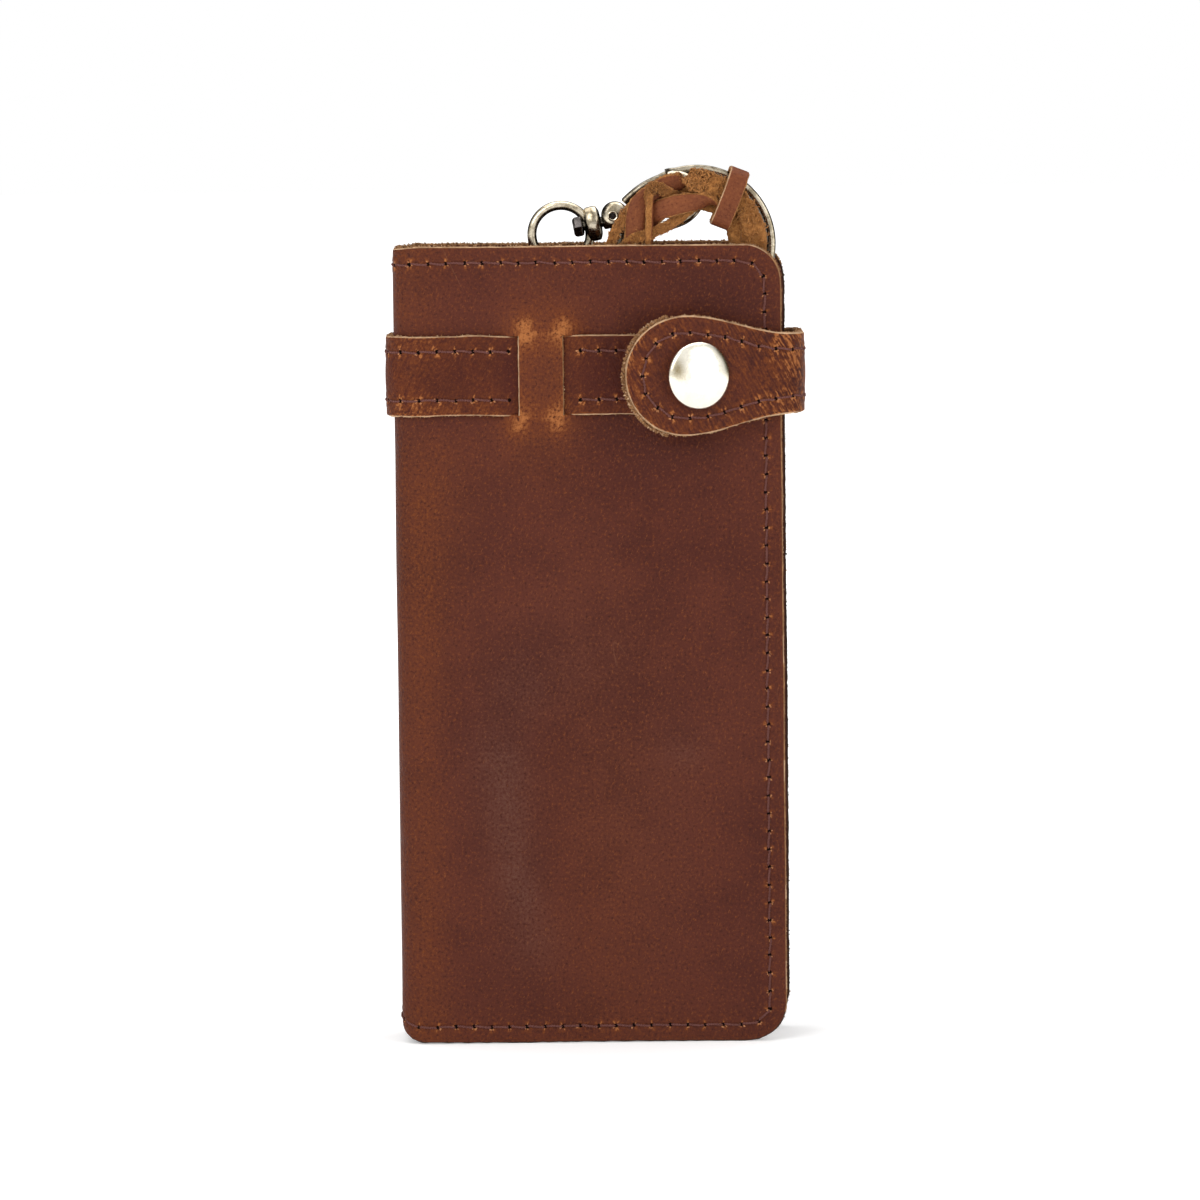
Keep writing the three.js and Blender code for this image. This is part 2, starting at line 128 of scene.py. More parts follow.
def vertex_normals(co, faces):
    n = np.zeros_like(co)
    quads = np.array([f if len(f) == 4 else (f[0], f[1], f[2], f[2]) for f in faces])
    fn = np.cross(co[quads[:, 2]] - co[quads[:, 0]], co[quads[:, 3]] - co[quads[:, 1]])
    tri = quads[:, 2] == quads[:, 3]
    if tri.any():
        q = quads[tri]
        fn[tri] = np.cross(co[q[:, 1]] - co[q[:, 0]], co[q[:, 2]] - co[q[:, 0]])
    for k in range(4):
        np.add.at(n, quads[:, k], fn)
    return unit(n)


def on_skin(b, p):
    """The point of the leather's face nearest p, with its pull, its wax-bloom and painted-light value and its place on
    the flat leather.
    """
    if b.skin is None:
        return np.asarray(p, float), np.concatenate([[0.2, 0.0], p])
    tree, faces, co, values = b.skin
    hit, _, f, _ = tree.find_nearest(Vector(p))
    v = list(faces[f])
    c, w = co[v], values[v]
    e1, e2 = (c[1] + c[2] - c[0] - c[3]) / 2, (c[2] + c[3] - c[0] - c[1]) / 2
    d = np.array(hit) - c.mean(0)
    q1, q2 = d @ e1 / (e1 @ e1), d @ e2 / (e2 @ e2)
    return np.array(hit), w.mean(0) + q1 * (w[1] + w[2] - w[0] - w[3]) / 2 + q2 * (w[2] + w[3] - w[0] - w[1]) / 2


def cut_sheet(b, co, faces, thick, mats, flat=None, pull=None, bloom_and_painted_light=None, r=0.35, plain=None, ragged=0.10, seed=1, dim=None, burn_shade=None):
    """A piece of leather about its middle surface, faces seen from the grain side: grain side, flesh side and a
    rounded, slightly ragged cut edge all round. Vertices in plain get a straight edge, where the next piece joins on.
    dim tells where the top of the edge isn't pale, burn_shade where the edge is burnished dark, as painted shade where
    it runs along the bottom. Returns the points and outward directions of the cut edge."""
    co = np.asarray(co, float)
    count = len(co)
    flat = co if flat is None else np.asarray(flat, float)
    pull = np.zeros(count) if pull is None else np.asarray(pull, float)
    bloom_and_painted_light = np.zeros(count) if bloom_and_painted_light is None else np.asarray(bloom_and_painted_light, float)
    half = np.broadcast_to(np.asarray(thick, float), (count,)) / 2
    n = vertex_normals(co, faces)
    edges = set()
    for f in faces:
        for i in range(len(f)):
            edges.add((f[i], f[(i + 1) % len(f)]))
    border = sorted((a, c) for a, c in edges if (c, a) not in edges)
    out = np.zeros_like(co)
    for a, c in border:
        d = unit(np.cross(co[c] - co[a], n[a] + n[c]))
        out[a] += d
        out[c] += d
    size = np.linalg.norm(out, axis=1)
    out = np.where((size > 0.4)[:, None], unit(out), 0.0)
    plain = np.zeros(count, bool) if plain is None else np.asarray(plain, bool)
    out[plain] = 0.0
    on_edge = sorted({i for e in border for i in e})
    inset = out * r
    outer = co + n * half[:, None] - inset
    inner = co - n * half[:, None] - inset
    b_outer = b.add(outer, faces, mats[0], flat, pull, bloom_and_painted_light)
    b.skin = (BVHTree.FromPolygons(outer.tolist(), faces), faces, outer, np.column_stack([pull, bloom_and_painted_light, flat]))
    b.add(inner, [tuple(reversed(f)) for f in faces], mats[1], flat + [0, 0, 900.0], 0.0, 0.0)
    b_inner = b_outer + count
    rng = random.Random(seed)
    row = {}
    rim_co, rim_flat = [], []
    for i in on_edge:
        h = half[i]
        if np.any(out[i]):
            prof = [(-r * 0.62, h - r * 0.10), (rng.uniform(-0.4, 1.0) * ragged, h - r),
                    (rng.uniform(-0.4, 1.0) * ragged, -h + r), (-r * 0.30, -h + r * 0.30)]
        else:
            prof = [(0, h * 0.6), (0, h * 0.2), (0, -h * 0.2), (0, -h * 0.6)]
        row[i] = len(rim_co)
        for k, (o, y) in enumerate(prof):
            rim_co.append(co[i] + out[i] * o + n[i] * y)
            rim_flat.append(flat[i] + np.array([0, 0.35 * (k + 1), 1800.0]))
    base = b.add(rim_co, [], mats[2], rim_flat)
    dark = {i: burn_shade is not None and bool(burn_shade(co[i], out[i])) for i in on_edge}
    lip = b.add([rim_co[row[i]] for i in on_edge], [], mats[0], [flat[i] for i in on_edge], [0.1 if dark[i] else min(1.2, pull[i] + 0.45) for i in on_edge])
    lip_of = {i: lip + k for k, i in enumerate(on_edge)}

    def ring(i, k):
        if k == 0:
            return b_outer + i
        if k == 5:
            return b_inner + i
        return base + row[i] + k - 1

    for a, c in border:
        pale = mats[-1] if dim is not None and dim(co[a], out[a]) else mats[2]
        rest = mats[-1]
        # burnished dark edge, which along the bottom is also painted shade
        if dark[a]:
            pale = rest = BURNT_SHADED
        for k in range(5):
            if k == 0:
                b.faces.append((ring(c, 0), ring(a, 0), lip_of[a], lip_of[c]))
                b.mat.append(mats[0])
            else:
                b.faces.append((ring(c, k), ring(a, k), ring(a, k + 1), ring(c, k + 1)))
                b.mat.append(pale if k == 1 else rest)
    return [(co[i] + n[i] * half[i] * 0.2, out[i], n[i]) for i in on_edge if np.any(out[i])]


def fibres(b, edge, mat, count, seed, longest=1.1):
    """Loose fibres standing out of a cut edge, as thin bent spikes."""
    rng = random.Random(seed)
    if not edge:
        return
    for _ in range(count):
        p, d, n = edge[rng.randrange(len(edge))]
        along = np.cross(d, n)
        p = p + along * rng.uniform(-0.8, 0.8) + n * rng.uniform(-0.7, 0.5) - d * 0.12
        length = longest * rng.uniform(0.25, 1.0) ** 1.6
        way = unit(d + along * rng.uniform(-0.9, 0.9) + n * rng.uniform(-0.6, 0.6))
        side = unit(np.cross(way, n + 0.1 * along))
        up = np.cross(way, side)
        w = rng.uniform(0.05, 0.10)
        bend = along * rng.uniform(-0.5, 0.5) * length
        mid = p + way * length * 0.55 + bend * 0.3
        tip = p + way * length + bend
        pts = []
        for c, s in ((p, w), (mid, w * 0.7)):
            for k in range(3):
                a = 2 * math.pi * k / 3
                pts.append(c + (side * math.cos(a) + up * math.sin(a)) * s)
        pts.append(tip)
        faces = [(k, (k + 1) % 3, 3 + (k + 1) % 3, 3 + k) for k in range(3)]
        faces += [(3 + k, 3 + (k + 1) % 3, 6) for k in range(3)] + [(2, 1, 0)]
        b.add(pts, faces, mat)


def crumbs(b, edge, mats, count, seed, size=0.22, reach=(-0.08, 0.10)):
    """Rough little tufts along a cut edge, which break up its outline."""
    rng = random.Random(seed)
    if not edge:
        return
    for _ in range(count):
        p, d, n = edge[rng.randrange(len(edge))]
        side = np.cross(d, n)
        c = p + side * rng.uniform(-0.9, 0.9) - n * rng.uniform(0.05, 1.35) + d * rng.uniform(*reach)
        r = size * rng.uniform(0.45, 1.25)
        pts = []
        for way, far in ((d, 1.5), (-d, 0.8), (side, 1.0), (-side, 1.0), (n, 0.9), (-n, 0.9)):
            pts.append(c + (way * far + np.array([rng.uniform(-0.4, 0.4) for _ in range(3)])) * r)
        faces = [(0, 2, 4), (2, 1, 4), (1, 3, 4), (3, 0, 4), (2, 0, 5), (1, 2, 5), (3, 1, 5), (0, 3, 5)]
        if np.dot(np.cross(side, n), d) < 0:
            faces = [f[::-1] for f in faces]
        b.add(pts, faces, mats[rng.randrange(len(mats))])


def tube(path, radius, sides=16, closed=False, flatten=1.0, up=None):
    """Vertices and faces of a round wire along a path, closed or with capped ends."""
    path = np.asarray(path, float)
    m = len(path)
    radius = np.broadcast_to(np.asarray(radius, float), (m,))
    nxt = np.roll(path, -1, 0) if closed else np.vstack([path[1:], path[-1:]])
    prv = np.roll(path, 1, 0) if closed else np.vstack([path[:1], path[:-1]])
    tan = unit(nxt - prv)
    ref = np.array([0.0, 1.0, 0.0]) if up is None else np.asarray(up, float)
    u = unit(ref - tan[0] * (ref @ tan[0]))
    us = []
    for t in tan:
        u = unit(u - t * (u @ t)) if up is None else unit(ref - t * (ref @ t))
        us.append(u)
    us = np.array(us)
    vs = np.cross(tan, us)
    ang = np.arange(sides) * 2 * math.pi / sides
    co = (path[:, None] + radius[:, None, None] * (np.cos(ang)[None, :, None] * us[:, None] * flatten
                                                   + np.sin(ang)[None, :, None] * vs[:, None])).reshape(-1, 3)
    faces = []
    for i in range(m if closed else m - 1):
        j = (i + 1) % m
        for k in range(sides):
            q = (k + 1) % sides
            faces.append((i * sides + k, i * sides + q, j * sides + q, j * sides + k))
    if not closed:
        co = np.vstack([co, path[:1], path[-1:]])
        a, z = m * sides, m * sides + 1
        faces += [(a, (k + 1) % sides, k) for k in range(sides)]
        faces += [(z, (m - 1) * sides + k, (m - 1) * sides + (k + 1) % sides) for k in range(sides)]
    return co, faces


def turned(profile, centre, axis, sides=48, ref=(0, 0, 1), ring=False):
    """A solid of revolution: profile is (distance along the axis, radius), from one pole to the other, or closed on
    itself for a ring."""
    axis = unit(axis)
    ref = np.asarray(ref, float)
    u = unit(ref - axis * (ref @ axis))
    v = np.cross(axis, u)
    ang = np.arange(sides) * 2 * math.pi / sides
    co, faces, rows = [], [], []
    for h, r in profile:
        if r < 1e-6:
            rows.append([len(co)])
            co.append(np.asarray(centre) + axis * h)
        else:
            rows.append(list(range(len(co), len(co) + sides)))
            co += [np.asarray(centre) + axis * h + r * (math.cos(a) * u + math.sin(a) * v) for a in ang]
    for lo, hi in zip(rows, rows[1:] + rows[:1] if ring else rows[1:]):
        for k in range(sides):
            q = (k + 1) % sides
            if len(lo) == 1 and len(hi) > 1:
                faces.append((lo[0], hi[q], hi[k]))
            elif len(hi) == 1 and len(lo) > 1:
                faces.append((lo[k], lo[q], hi[0]))
            elif len(lo) > 1:
                faces.append((lo[k], lo[q], hi[q], hi[k]))
    return np.array(co), faces


def rounded_box(lo, hi, r, seg=3):
    """A box with rounded edges and corners."""
    lo, hi = np.asarray(lo, float), np.asarray(hi, float)
    c, h = (lo + hi) / 2, (hi - lo) / 2
    r = min(r, *(h * 0.98))
    idx, co, faces = {}, [], []
    steps = np.concatenate([np.linspace(-1, -0.0, seg + 1), np.linspace(0.0, 1, seg + 1)])
    m = len(steps)

    def vert(p):
        key = tuple(p)
        if key not in idx:
            q = np.array([steps[i] for i in p])
            sign = np.array([-1.0 if i <= seg else 1.0 for i in p])
            co.append(c + sign * (h - r) + r * unit(np.tan(q * math.pi / 4)))
            idx[key] = len(co) - 1
        return idx[key]

    for k in range(3):
        for end in (0, m - 1):
            a, b2 = (k + 1) % 3, (k + 2) % 3
            for i in range(m - 1):
                for j in range(m - 1):
                    quad = []
                    for di, dj in ((0, 0), (1, 0), (1, 1), (0, 1)):
                        p = [0, 0, 0]
                        p[k], p[a], p[b2] = end, i + di, j + dj
                        quad.append(vert(p))
                    faces.append(tuple(quad) if end else tuple(reversed(quad)))
    return np.array(co), faces


def catmull(points, per):
    """Points along a centripetal Catmull-Rom curve through the given ones, per steps to each span."""
    p = np.asarray(points, float)
    p = np.vstack([2 * p[0] - p[1], p, 2 * p[-1] - p[-2]])
    out = []
    for i in range(1, len(p) - 2):
        q = p[i - 1:i + 3]
        t = [0.0]
        for k in range(3):
            t.append(t[-1] + max(1e-6, np.linalg.norm(q[k + 1] - q[k])) ** 0.5)
        for s in np.linspace(t[1], t[2], per, endpoint=False):
            a = [((t[k + 1] - s) * q[k] + (s - t[k]) * q[k + 1]) / (t[k + 1] - t[k]) for k in range(3)]
            bb = [((t[k + 2] - s) * a[k] + (s - t[k]) * a[k + 1]) / (t[k + 2] - t[k]) for k in range(2)]
            out.append(((t[2] - s) * bb[0] + (s - t[1]) * bb[1]) / (t[2] - t[1]))
    out.append(p[-2])
    return np.array(out)


def along(path, step):
    """The path again with even steps of about that length."""
    path = np.asarray(path, float)
    d = np.concatenate([[0], np.cumsum(np.linalg.norm(np.diff(path, axis=0), axis=1))])
    m = max(2, int(round(d[-1] / step)) + 1)
    s = np.linspace(0, d[-1], m)
    return np.stack([np.interp(s, d, path[:, k]) for k in range(path.shape[1])], 1), s


# ---------------------------------------------------------------- materials

class Nodes:
    """Short names for the shader nodes used below."""

    def __init__(self, name):
        self.m = bpy.data.materials.new(name)
        self.m.use_nodes = True
        self.t = self.m.node_tree
        self.t.nodes.clear()
        self.out = self.t.nodes.new("ShaderNodeOutputMaterial")
        self.bsdf = self.t.nodes.new("ShaderNodeBsdfPrincipled")
        self.t.links.new(self.bsdf.outputs[0], self.out.inputs[0])

    def put(self, socket, value):
        if isinstance(value, bpy.types.NodeSocket):
            self.t.links.new(value, socket)
        elif isinstance(value, (tuple, list)) and len(value) == 3 and socket.type == "RGBA":
            socket.default_value = (*value, 1.0)
        else:
            socket.default_value = value

    def set(self, **values):
        for key, value in values.items():
            self.put(self.bsdf.inputs[key.replace("_", " ")], value)

    def attribute(self, name, output):
        n = self.t.nodes.new("ShaderNodeAttribute")
        n.attribute_name = name
        return n.outputs[output]

    def place(self, kind):
        """Where on the piece, in millimetres: along the leather as it was cut, or in the piece's own frame."""
        if kind == "flat":
            return self.attribute("flat", "Vector")
        n = self.t.nodes.new("ShaderNodeTexCoord")
        return self.scaled(n.outputs["Object"], (1000, 1000, 1000))

    def scaled(self, v, scale, rotation=(0, 0, 0), location=(0, 0, 0)):
        n = self.t.nodes.new("ShaderNodeMapping")
        self.put(n.inputs["Vector"], v)
        n.inputs["Scale"].default_value = scale
        n.inputs["Rotation"].default_value = rotation
        n.inputs["Location"].default_value = location
        return n.outputs[0]

    def noise(self, v, scale, detail=3.0, rough=0.5, twist=0.0):
        n = self.t.nodes.new("ShaderNodeTexNoise")
        self.put(n.inputs["Vector"], v)
        n.inputs["Scale"].default_value = scale
        n.inputs["Detail"].default_value = detail
        n.inputs["Roughness"].default_value = rough
        n.inputs["Distortion"].default_value = twist
        return n.outputs[0]

    def cells(self, v, scale, feature="F1", random_=1.0):
        n = self.t.nodes.new("ShaderNodeTexVoronoi")
        n.feature = feature
        self.put(n.inputs["Vector"], v)
        n.inputs["Scale"].default_value = scale
        n.inputs["Randomness"].default_value = random_
        return n.outputs["Distance"]

    def wave(self, v, scale, twist=0.0, direction="X"):
        n = self.t.nodes.new("ShaderNodeTexWave")
        n.bands_direction = direction
        self.put(n.inputs["Vector"], v)
        n.inputs["Scale"].default_value = scale
        n.inputs["Distortion"].default_value = twist
        return n.outputs["Fac"]

    def math(self, op, a, b=0.0, clamp=False):
        n = self.t.nodes.new("ShaderNodeMath")
        n.operation = op
        n.use_clamp = clamp
        self.put(n.inputs[0], a)
        self.put(n.inputs[1], b)
        return n.outputs[0]

    def span(self, x, a, b, lo=0.0, hi=1.0, kind="SMOOTHSTEP"):
        n = self.t.nodes.new("ShaderNodeMapRange")
        n.interpolation_type = kind
        self.put(n.inputs["Value"], x)
        for key, value in (("From Min", a), ("From Max", b), ("To Min", lo), ("To Max", hi)):
            n.inputs[key].default_value = value
        return n.outputs[0]

    def mix(self, f, a, b, kind="MIX"):
        n = self.t.nodes.new("ShaderNodeMix")
        n.data_type = "RGBA"
        n.blend_type = kind
        n.clamp_factor = True
        self.put(n.inputs[0], f)
        self.put(n.inputs[6], a)
        self.put(n.inputs[7], b)
        return n.outputs[2]

    def bump(self, height, strength, distance, normal=None):
        n = self.t.nodes.new("ShaderNodeBump")
        n.inputs["Strength"].default_value = strength
        n.inputs["Distance"].default_value = distance
        self.put(n.inputs["Height"], height)
        if normal is not None:
            self.put(n.inputs["Normal"], normal)
        return n.outputs[0]


DARK = (0.0606, 0.0134, 0.0083)
BROWN = (0.0900, 0.0220, 0.0125)
WARM = (0.184, 0.0480, 0.0100)
TAN = (0.420, 0.155, 0.048)
BLOOM_SHEEN = (0.112, 0.0480, 0.0340)


def hide_leather(name, dark=DARK, brown=BROWN, warm=WARM, rough=0.50, shine=0.11, streak_tilt=0.0, streaks=0.45,
                 grain=1.0, base_pull=0.0, kind="flat", scratches=1.0, torn=3.2, blotch=1.7, calm=1.0):
    """Waxed leather: it lightens to orange where it is pulled, with clouds of tone, a fine grain, short hair lines, dry
    wax bloom with painted sheen, and thin scratches."""
    k = Nodes(name)
    v = k.place(kind)
    big = k.noise(v, 0.020, 3, 0.5, 0.3)
    mid = k.noise(v, 0.090, 5, 0.58, 0.3)
    small = k.noise(v, 0.42, 4, 0.62, 0.4)
    fine = k.noise(v, 1.35, 3, 0.66)
    hair = k.noise(k.scaled(k.scaled(v, (1, 1, 1), (0, streak_tilt - 0.2, 0)), (2.3, 2.3, 0.75)), 1.0, 3, 0.6)
    lines = k.noise(k.scaled(k.scaled(v, (1, 1, 1), (0, streak_tilt, 0)), (1.7, 1.7, 0.24)), 1.0, 4, 0.62, 0.3)
    tone = k.span(k.math("ADD", k.math("MULTIPLY", big, 0.55), k.math("MULTIPLY", mid, 0.45)), 0.36, 0.64)
    col = k.mix(tone, dark, brown)
    # pulled areas, broken up by the grain
    pull = k.math("ADD", k.attribute("pull", "Fac") if kind == "flat" else 0.0, base_pull)
    broken = k.math("ADD", k.math("MULTIPLY", k.math("SUBTRACT", lines, 0.5), torn * streaks), k.math("MULTIPLY", k.math("SUBTRACT", fine, 0.5), 2.4))
    broken = k.math("ADD", broken, k.math("MULTIPLY", k.math("SUBTRACT", small, 0.5), blotch))
    broken = k.math("ADD", k.math("MULTIPLY", broken, k.span(pull, 0.45, 1.0, 1.0, calm)), 0.66)
    pulled = k.math("MULTIPLY", pull, broken, True)
    col = k.mix(pulled, col, warm)
    col = k.mix(k.span(pulled, 0.50, 1.05, 0.0, 0.8), col, TAN)
    # grain: light tops, dark pores and short hair lines
    col = k.mix(k.span(fine, 0.53, 0.70, 0.0, 0.42 * grain), col, warm)
    col = k.mix(k.span(fine, 0.46, 0.31, 0.0, 0.52 * grain), col, (0.030, 0.0068, 0.0042))
    col = k.mix(k.span(hair, 0.585, 0.70, 0.0, 0.34 * grain), col, (0.235, 0.070, 0.020))
    col = k.mix(k.span(lines, 0.58, 0.80, 0.0, 0.45 * streaks), col, warm)
    col = k.mix(k.span(lines, 0.40, 0.24, 0.0, 0.35 * streaks), col, (0.040, 0.0090, 0.0055))
    # dry wax bloom and painted sheen: greyer, lighter patches
    bloom_and_painted_light = k.math("MULTIPLY", k.attribute("bloom_and_painted_light", "Fac") if kind == "flat" else 0.0, k.span(mid, 0.25, 0.75, 0.35, 1.25), True)
    bloom_and_painted_light = k.math("MULTIPLY", bloom_and_painted_light, k.span(fine, 0.34, 0.66, 0.05, 1.5), True)
    col = k.mix(bloom_and_painted_light, col, BLOOM_SHEEN)
    # thin scratches: level lines of a slow noise, shown only here and there
    slow = k.noise(k.scaled(k.scaled(v, (1, 1, 1), (0, 0.5, 0)), (0.050, 0.050, 0.016)), 1.0, 1.5, 0.4)
    line = k.span(k.math("ABSOLUTE", k.math("SUBTRACT", slow, 0.47)), 0.0, 0.0022, 1.0, 0.0)
    there = k.span(k.noise(v, 0.034, 2, 0.5), 0.58, 0.70)
    scratch = k.math("MULTIPLY", k.math("MULTIPLY", line, there), 0.50 * scratches)
    col = k.mix(scratch, col, (0.26, 0.110, 0.052))
    k.set(Base_Color=col)
    k.set(Roughness=k.math("ADD", k.span(mid, 0.25, 0.75, rough - 0.06, rough + 0.10), k.math("MULTIPLY", pulled, 0.10)))
    k.bsdf.inputs["Specular IOR Level"].default_value = shine
    creases = k.cells(k.scaled(v, (1.0, 1.0, 0.72), (0, 0.35, 0)), 0.95, "DISTANCE_TO_EDGE")
    height = k.math("ADD", k.span(creases, 0.0, 0.22, 0.0, 0.55), k.math("MULTIPLY", fine, 0.9))
    height = k.math("ADD", height, k.math("MULTIPLY", lines, 0.9 * streaks))
    height = k.math("SUBTRACT", height, k.math("MULTIPLY", scratch, 0.8))
    n1 = k.bump(k.math("ADD", mid, k.math("MULTIPLY", small, 0.35)), 0.35, 0.0009)
    k.set(Normal=k.bump(height, 0.50 * grain, 0.00012, n1))
    return k.m


def suede(name, dark, light, scale=1.0, depth=0.00035, kind="flat", strength=0.9, patch=0.45):
    """Rough flesh side and cut edges: matted fibres."""
    k = Nodes(name)
    v = k.place(kind)
    a = k.noise(v, 0.9 * scale, 8, 0.78, 0.8)
    b = k.noise(v, 3.2 * scale, 6, 0.75, 1.2)
    c = k.noise(v, 0.14 * scale, 4, 0.6)
    f = k.math("ADD", k.math("MULTIPLY", a, 0.55), k.math("MULTIPLY", b, 0.45))
    col = k.mix(k.span(f, 0.32, 0.68), dark, light)
    col = k.mix(k.span(c, 0.40, 0.70, 0.0, patch), col, tuple(0.6 * x for x in dark))
    col = k.mix(k.span(b, 0.66, 0.82, 0.0, 0.6), col, tuple(min(1.0, 1.5 * x) for x in light))
    k.set(Base_Color=col, Roughness=0.95)
    k.bsdf.inputs["Specular IOR Level"].default_value = 0.12
    k.bsdf.inputs["Sheen Weight"].default_value = 0.15
    k.bsdf.inputs["Sheen Roughness"].default_value = 0.5
    k.bsdf.inputs["Sheen Tint"].default_value = (0.9, 0.7, 0.5, 1.0)
    k.set(Normal=k.bump(f, strength, depth))
    return k.m


def thread(name, dark, light):
    k = Nodes(name)
    v = k.place("flat")
    f = k.noise(v, 2.2, 4, 0.6)
    ply = k.wave(k.scaled(v, (1, 1, 1), (0.5, 0.6, 0.4)), 1.6, 1.5)
    k.set(Base_Color=k.mix(k.span(k.math("ADD", k.math("MULTIPLY", f, 0.5), k.math("MULTIPLY", ply, 0.5)), 0.3, 0.75), dark, light), Roughness=0.62)
    k.bsdf.inputs["Specular IOR Level"].default_value = 0.08
    k.set(Normal=k.bump(ply, 0.6, 0.0001))
    return k.m


def metal(name, bright, dull, dark, rough=0.28, wear=0.5, kind="object", painted_shade_colour=None):
    """Plated metal with a worn, darker tone in patches, fine polishing marks, and painted shade and reflection mixed in
    where the per-vertex bloom-and-painted-light value is high.
    """
    k = Nodes(name)
    v = k.place(kind)
    a = k.noise(v, 0.35, 6, 0.65, 0.5)
    b = k.noise(v, 2.0, 5, 0.7)
    c = k.noise(k.scaled(v, (0.4, 3.0, 3.0)), 1.0, 3, 0.6)
    col = k.mix(k.span(a, 0.35, 0.68), bright, dull)
    col = k.mix(k.math("MULTIPLY", k.span(k.math("ADD", k.math("MULTIPLY", a, 0.5), k.math("MULTIPLY", b, 0.5)), 0.50, 0.68), wear), col, dark)
    if painted_shade_colour is not None:
        # painted shade and reflection: darker where the bloom-and-painted-light value is high
        col = k.mix(k.math("MULTIPLY", k.attribute("bloom_and_painted_light", "Fac"), k.span(b, 0.25, 0.75, 0.8, 1.2), True), col, painted_shade_colour)
    k.set(Base_Color=col, Metallic=1.0)
    k.set(Roughness=k.span(k.math("ADD", k.math("MULTIPLY", b, 0.5), k.math("MULTIPLY", c, 0.5)), 0.3, 0.7, rough - 0.06, rough + 0.14))
    k.set(Normal=k.bump(k.math("ADD", c, k.math("MULTIPLY", b, 0.4)), 0.10, 0.00006))
    return k.m


def woven(name, dark, light, scale=1.0, kind="object", rough=0.85):
    """Plain woven tape or lining cloth."""
    k = Nodes(name)
    v = k.place(kind)
    a = k.wave(v, 0.9 * scale, 0.4, "X")
    b = k.wave(v, 0.9 * scale, 0.4, "Z")
    n = k.noise(v, 0.6, 5, 0.6)
    f = k.math("MULTIPLY", a, b)
    col = k.mix(k.span(k.math("ADD", k.math("MULTIPLY", f, 0.6), k.math("MULTIPLY", n, 0.4)), 0.15, 0.7), dark, light)
    k.set(Base_Color=col, Roughness=rough)
    k.bsdf.inputs["Specular IOR Level"].default_value = 0.2
    k.bsdf.inputs["Sheen Weight"].default_value = 0.2
    k.set(Normal=k.bump(f, 0.5, 0.00012))
    return k.m


def plain_dark(name, colour, rough=0.9):
    """Near-black, matt material: painted shade inside holes."""
    k = Nodes(name)
    n = k.noise(k.place("flat"), 1.5, 3, 0.6)
    k.set(Base_Color=k.mix(n, tuple(0.5 * c for c in colour), colour), Roughness=rough)
    k.bsdf.inputs["Specular IOR Level"].default_value = 0.05
    return k.m


M_HIDE = hide_leather("cover_leather", streak_tilt=-0.25, streaks=0.55, grain=1.4, torn=1.5, blotch=0.9, calm=0.55)
M_STRAP = hide_leather("strap_leather", dark=(0.050, 0.0092, 0.0052), brown=(0.074, 0.0146, 0.0080), streak_tilt=-0.45, streaks=0.8, grain=1.1)
M_TAB = hide_leather("tab_leather", dark=(0.050, 0.0104, 0.0062), brown=(0.074, 0.0168, 0.0094), base_pull=0.04, streak_tilt=-0.50, streaks=1.9, grain=1.1)
M_INNER = hide_leather("inner_leather", dark=(0.060, 0.0150, 0.0090), brown=(0.086, 0.0220, 0.0125), rough=0.55, scratches=0.4)
M_LACE = hide_leather("lace_leather", dark=(0.104, 0.0270, 0.0125), brown=(0.182, 0.0530, 0.0225), warm=(0.27, 0.092, 0.032), base_pull=0.14, grain=0.8, scratches=0.3)
M_EDGE = suede("cut_edge", (0.330, 0.175, 0.085), (0.720, 0.490, 0.300), 1.6, 0.00018, patch=0.75)
M_RAW = suede("raw_edge", (0.155, 0.064, 0.025), (0.490, 0.262, 0.115), 1.4, 0.00030)
M_FLESH = suede("flesh_side", (0.120, 0.046, 0.018), (0.260, 0.118, 0.050), 1.0, 0.0003)
M_SUEDE = suede("lace_suede", (0.140, 0.041, 0.0095), (0.680, 0.305, 0.090), 1.0, 0.0006, strength=1.0)
M_THREAD = thread("sewing_thread", (0.054, 0.0160, 0.0130), (0.260, 0.1100, 0.0930))
M_HALO = suede("stitch_pucker", (0.250, 0.082, 0.0260), (0.640, 0.300, 0.1400), 1.6, 0.0002)
# burnished dark edge, also used as painted shade along the wallet's bottom
M_BURNT_SHADED = suede("burnished_shaded_edge", (0.0120, 0.0058, 0.0042), (0.0420, 0.0200, 0.0130), 1.4, 0.00015)
# near-black painted shade inside stitch holes
M_HOLE_SHADE = plain_dark("stitch_hole_shade", (0.0040, 0.0016, 0.0013))
# the last colour of each metal is its colour for painted shade and reflection
M_BRASS = metal("antique_brass_worn", (0.68, 0.60, 0.46), (0.29, 0.235, 0.150), (0.055, 0.043, 0.030), 0.18, 0.6, "flat", (0.020, 0.0155, 0.0115))
M_DARKMETAL = metal("dark_bronze", (0.230, 0.205, 0.195), (0.100, 0.088, 0.082), (0.024, 0.020, 0.018), 0.16, 0.5, "flat", (0.014, 0.011, 0.010))
M_NICKEL = metal("snap_nickel", (0.90, 0.855, 0.740), (0.86, 0.805, 0.675), (0.69, 0.63, 0.48), 0.17, 0.20, "flat", (0.33, 0.265, 0.145))
M_TAPE = woven("zip_tape_cloth", (0.010, 0.0065, 0.005), (0.042, 0.028, 0.021), 1.0)
M_LINING = woven("lining_cloth", (0.030, 0.017, 0.011), (0.085, 0.050, 0.033), 0.8, "flat")
M_TEETH = metal("zip_brass", (0.56, 0.42, 0.21), (0.36, 0.265, 0.13), (0.06, 0.042, 0.024), 0.30, 0.5)

SEW = (3, 4, 5)                                     # thread, torn grain and the hole's painted shade in the lists below
BURNT_SHADED = 7                                           # burnished edge, also painted shade along the bottom


def hide_mats(top, back=None):
    return [top, back or M_FLESH, M_EDGE, M_THREAD, M_HALO, M_HOLE_SHADE, M_RAW, M_BURNT_SHADED]


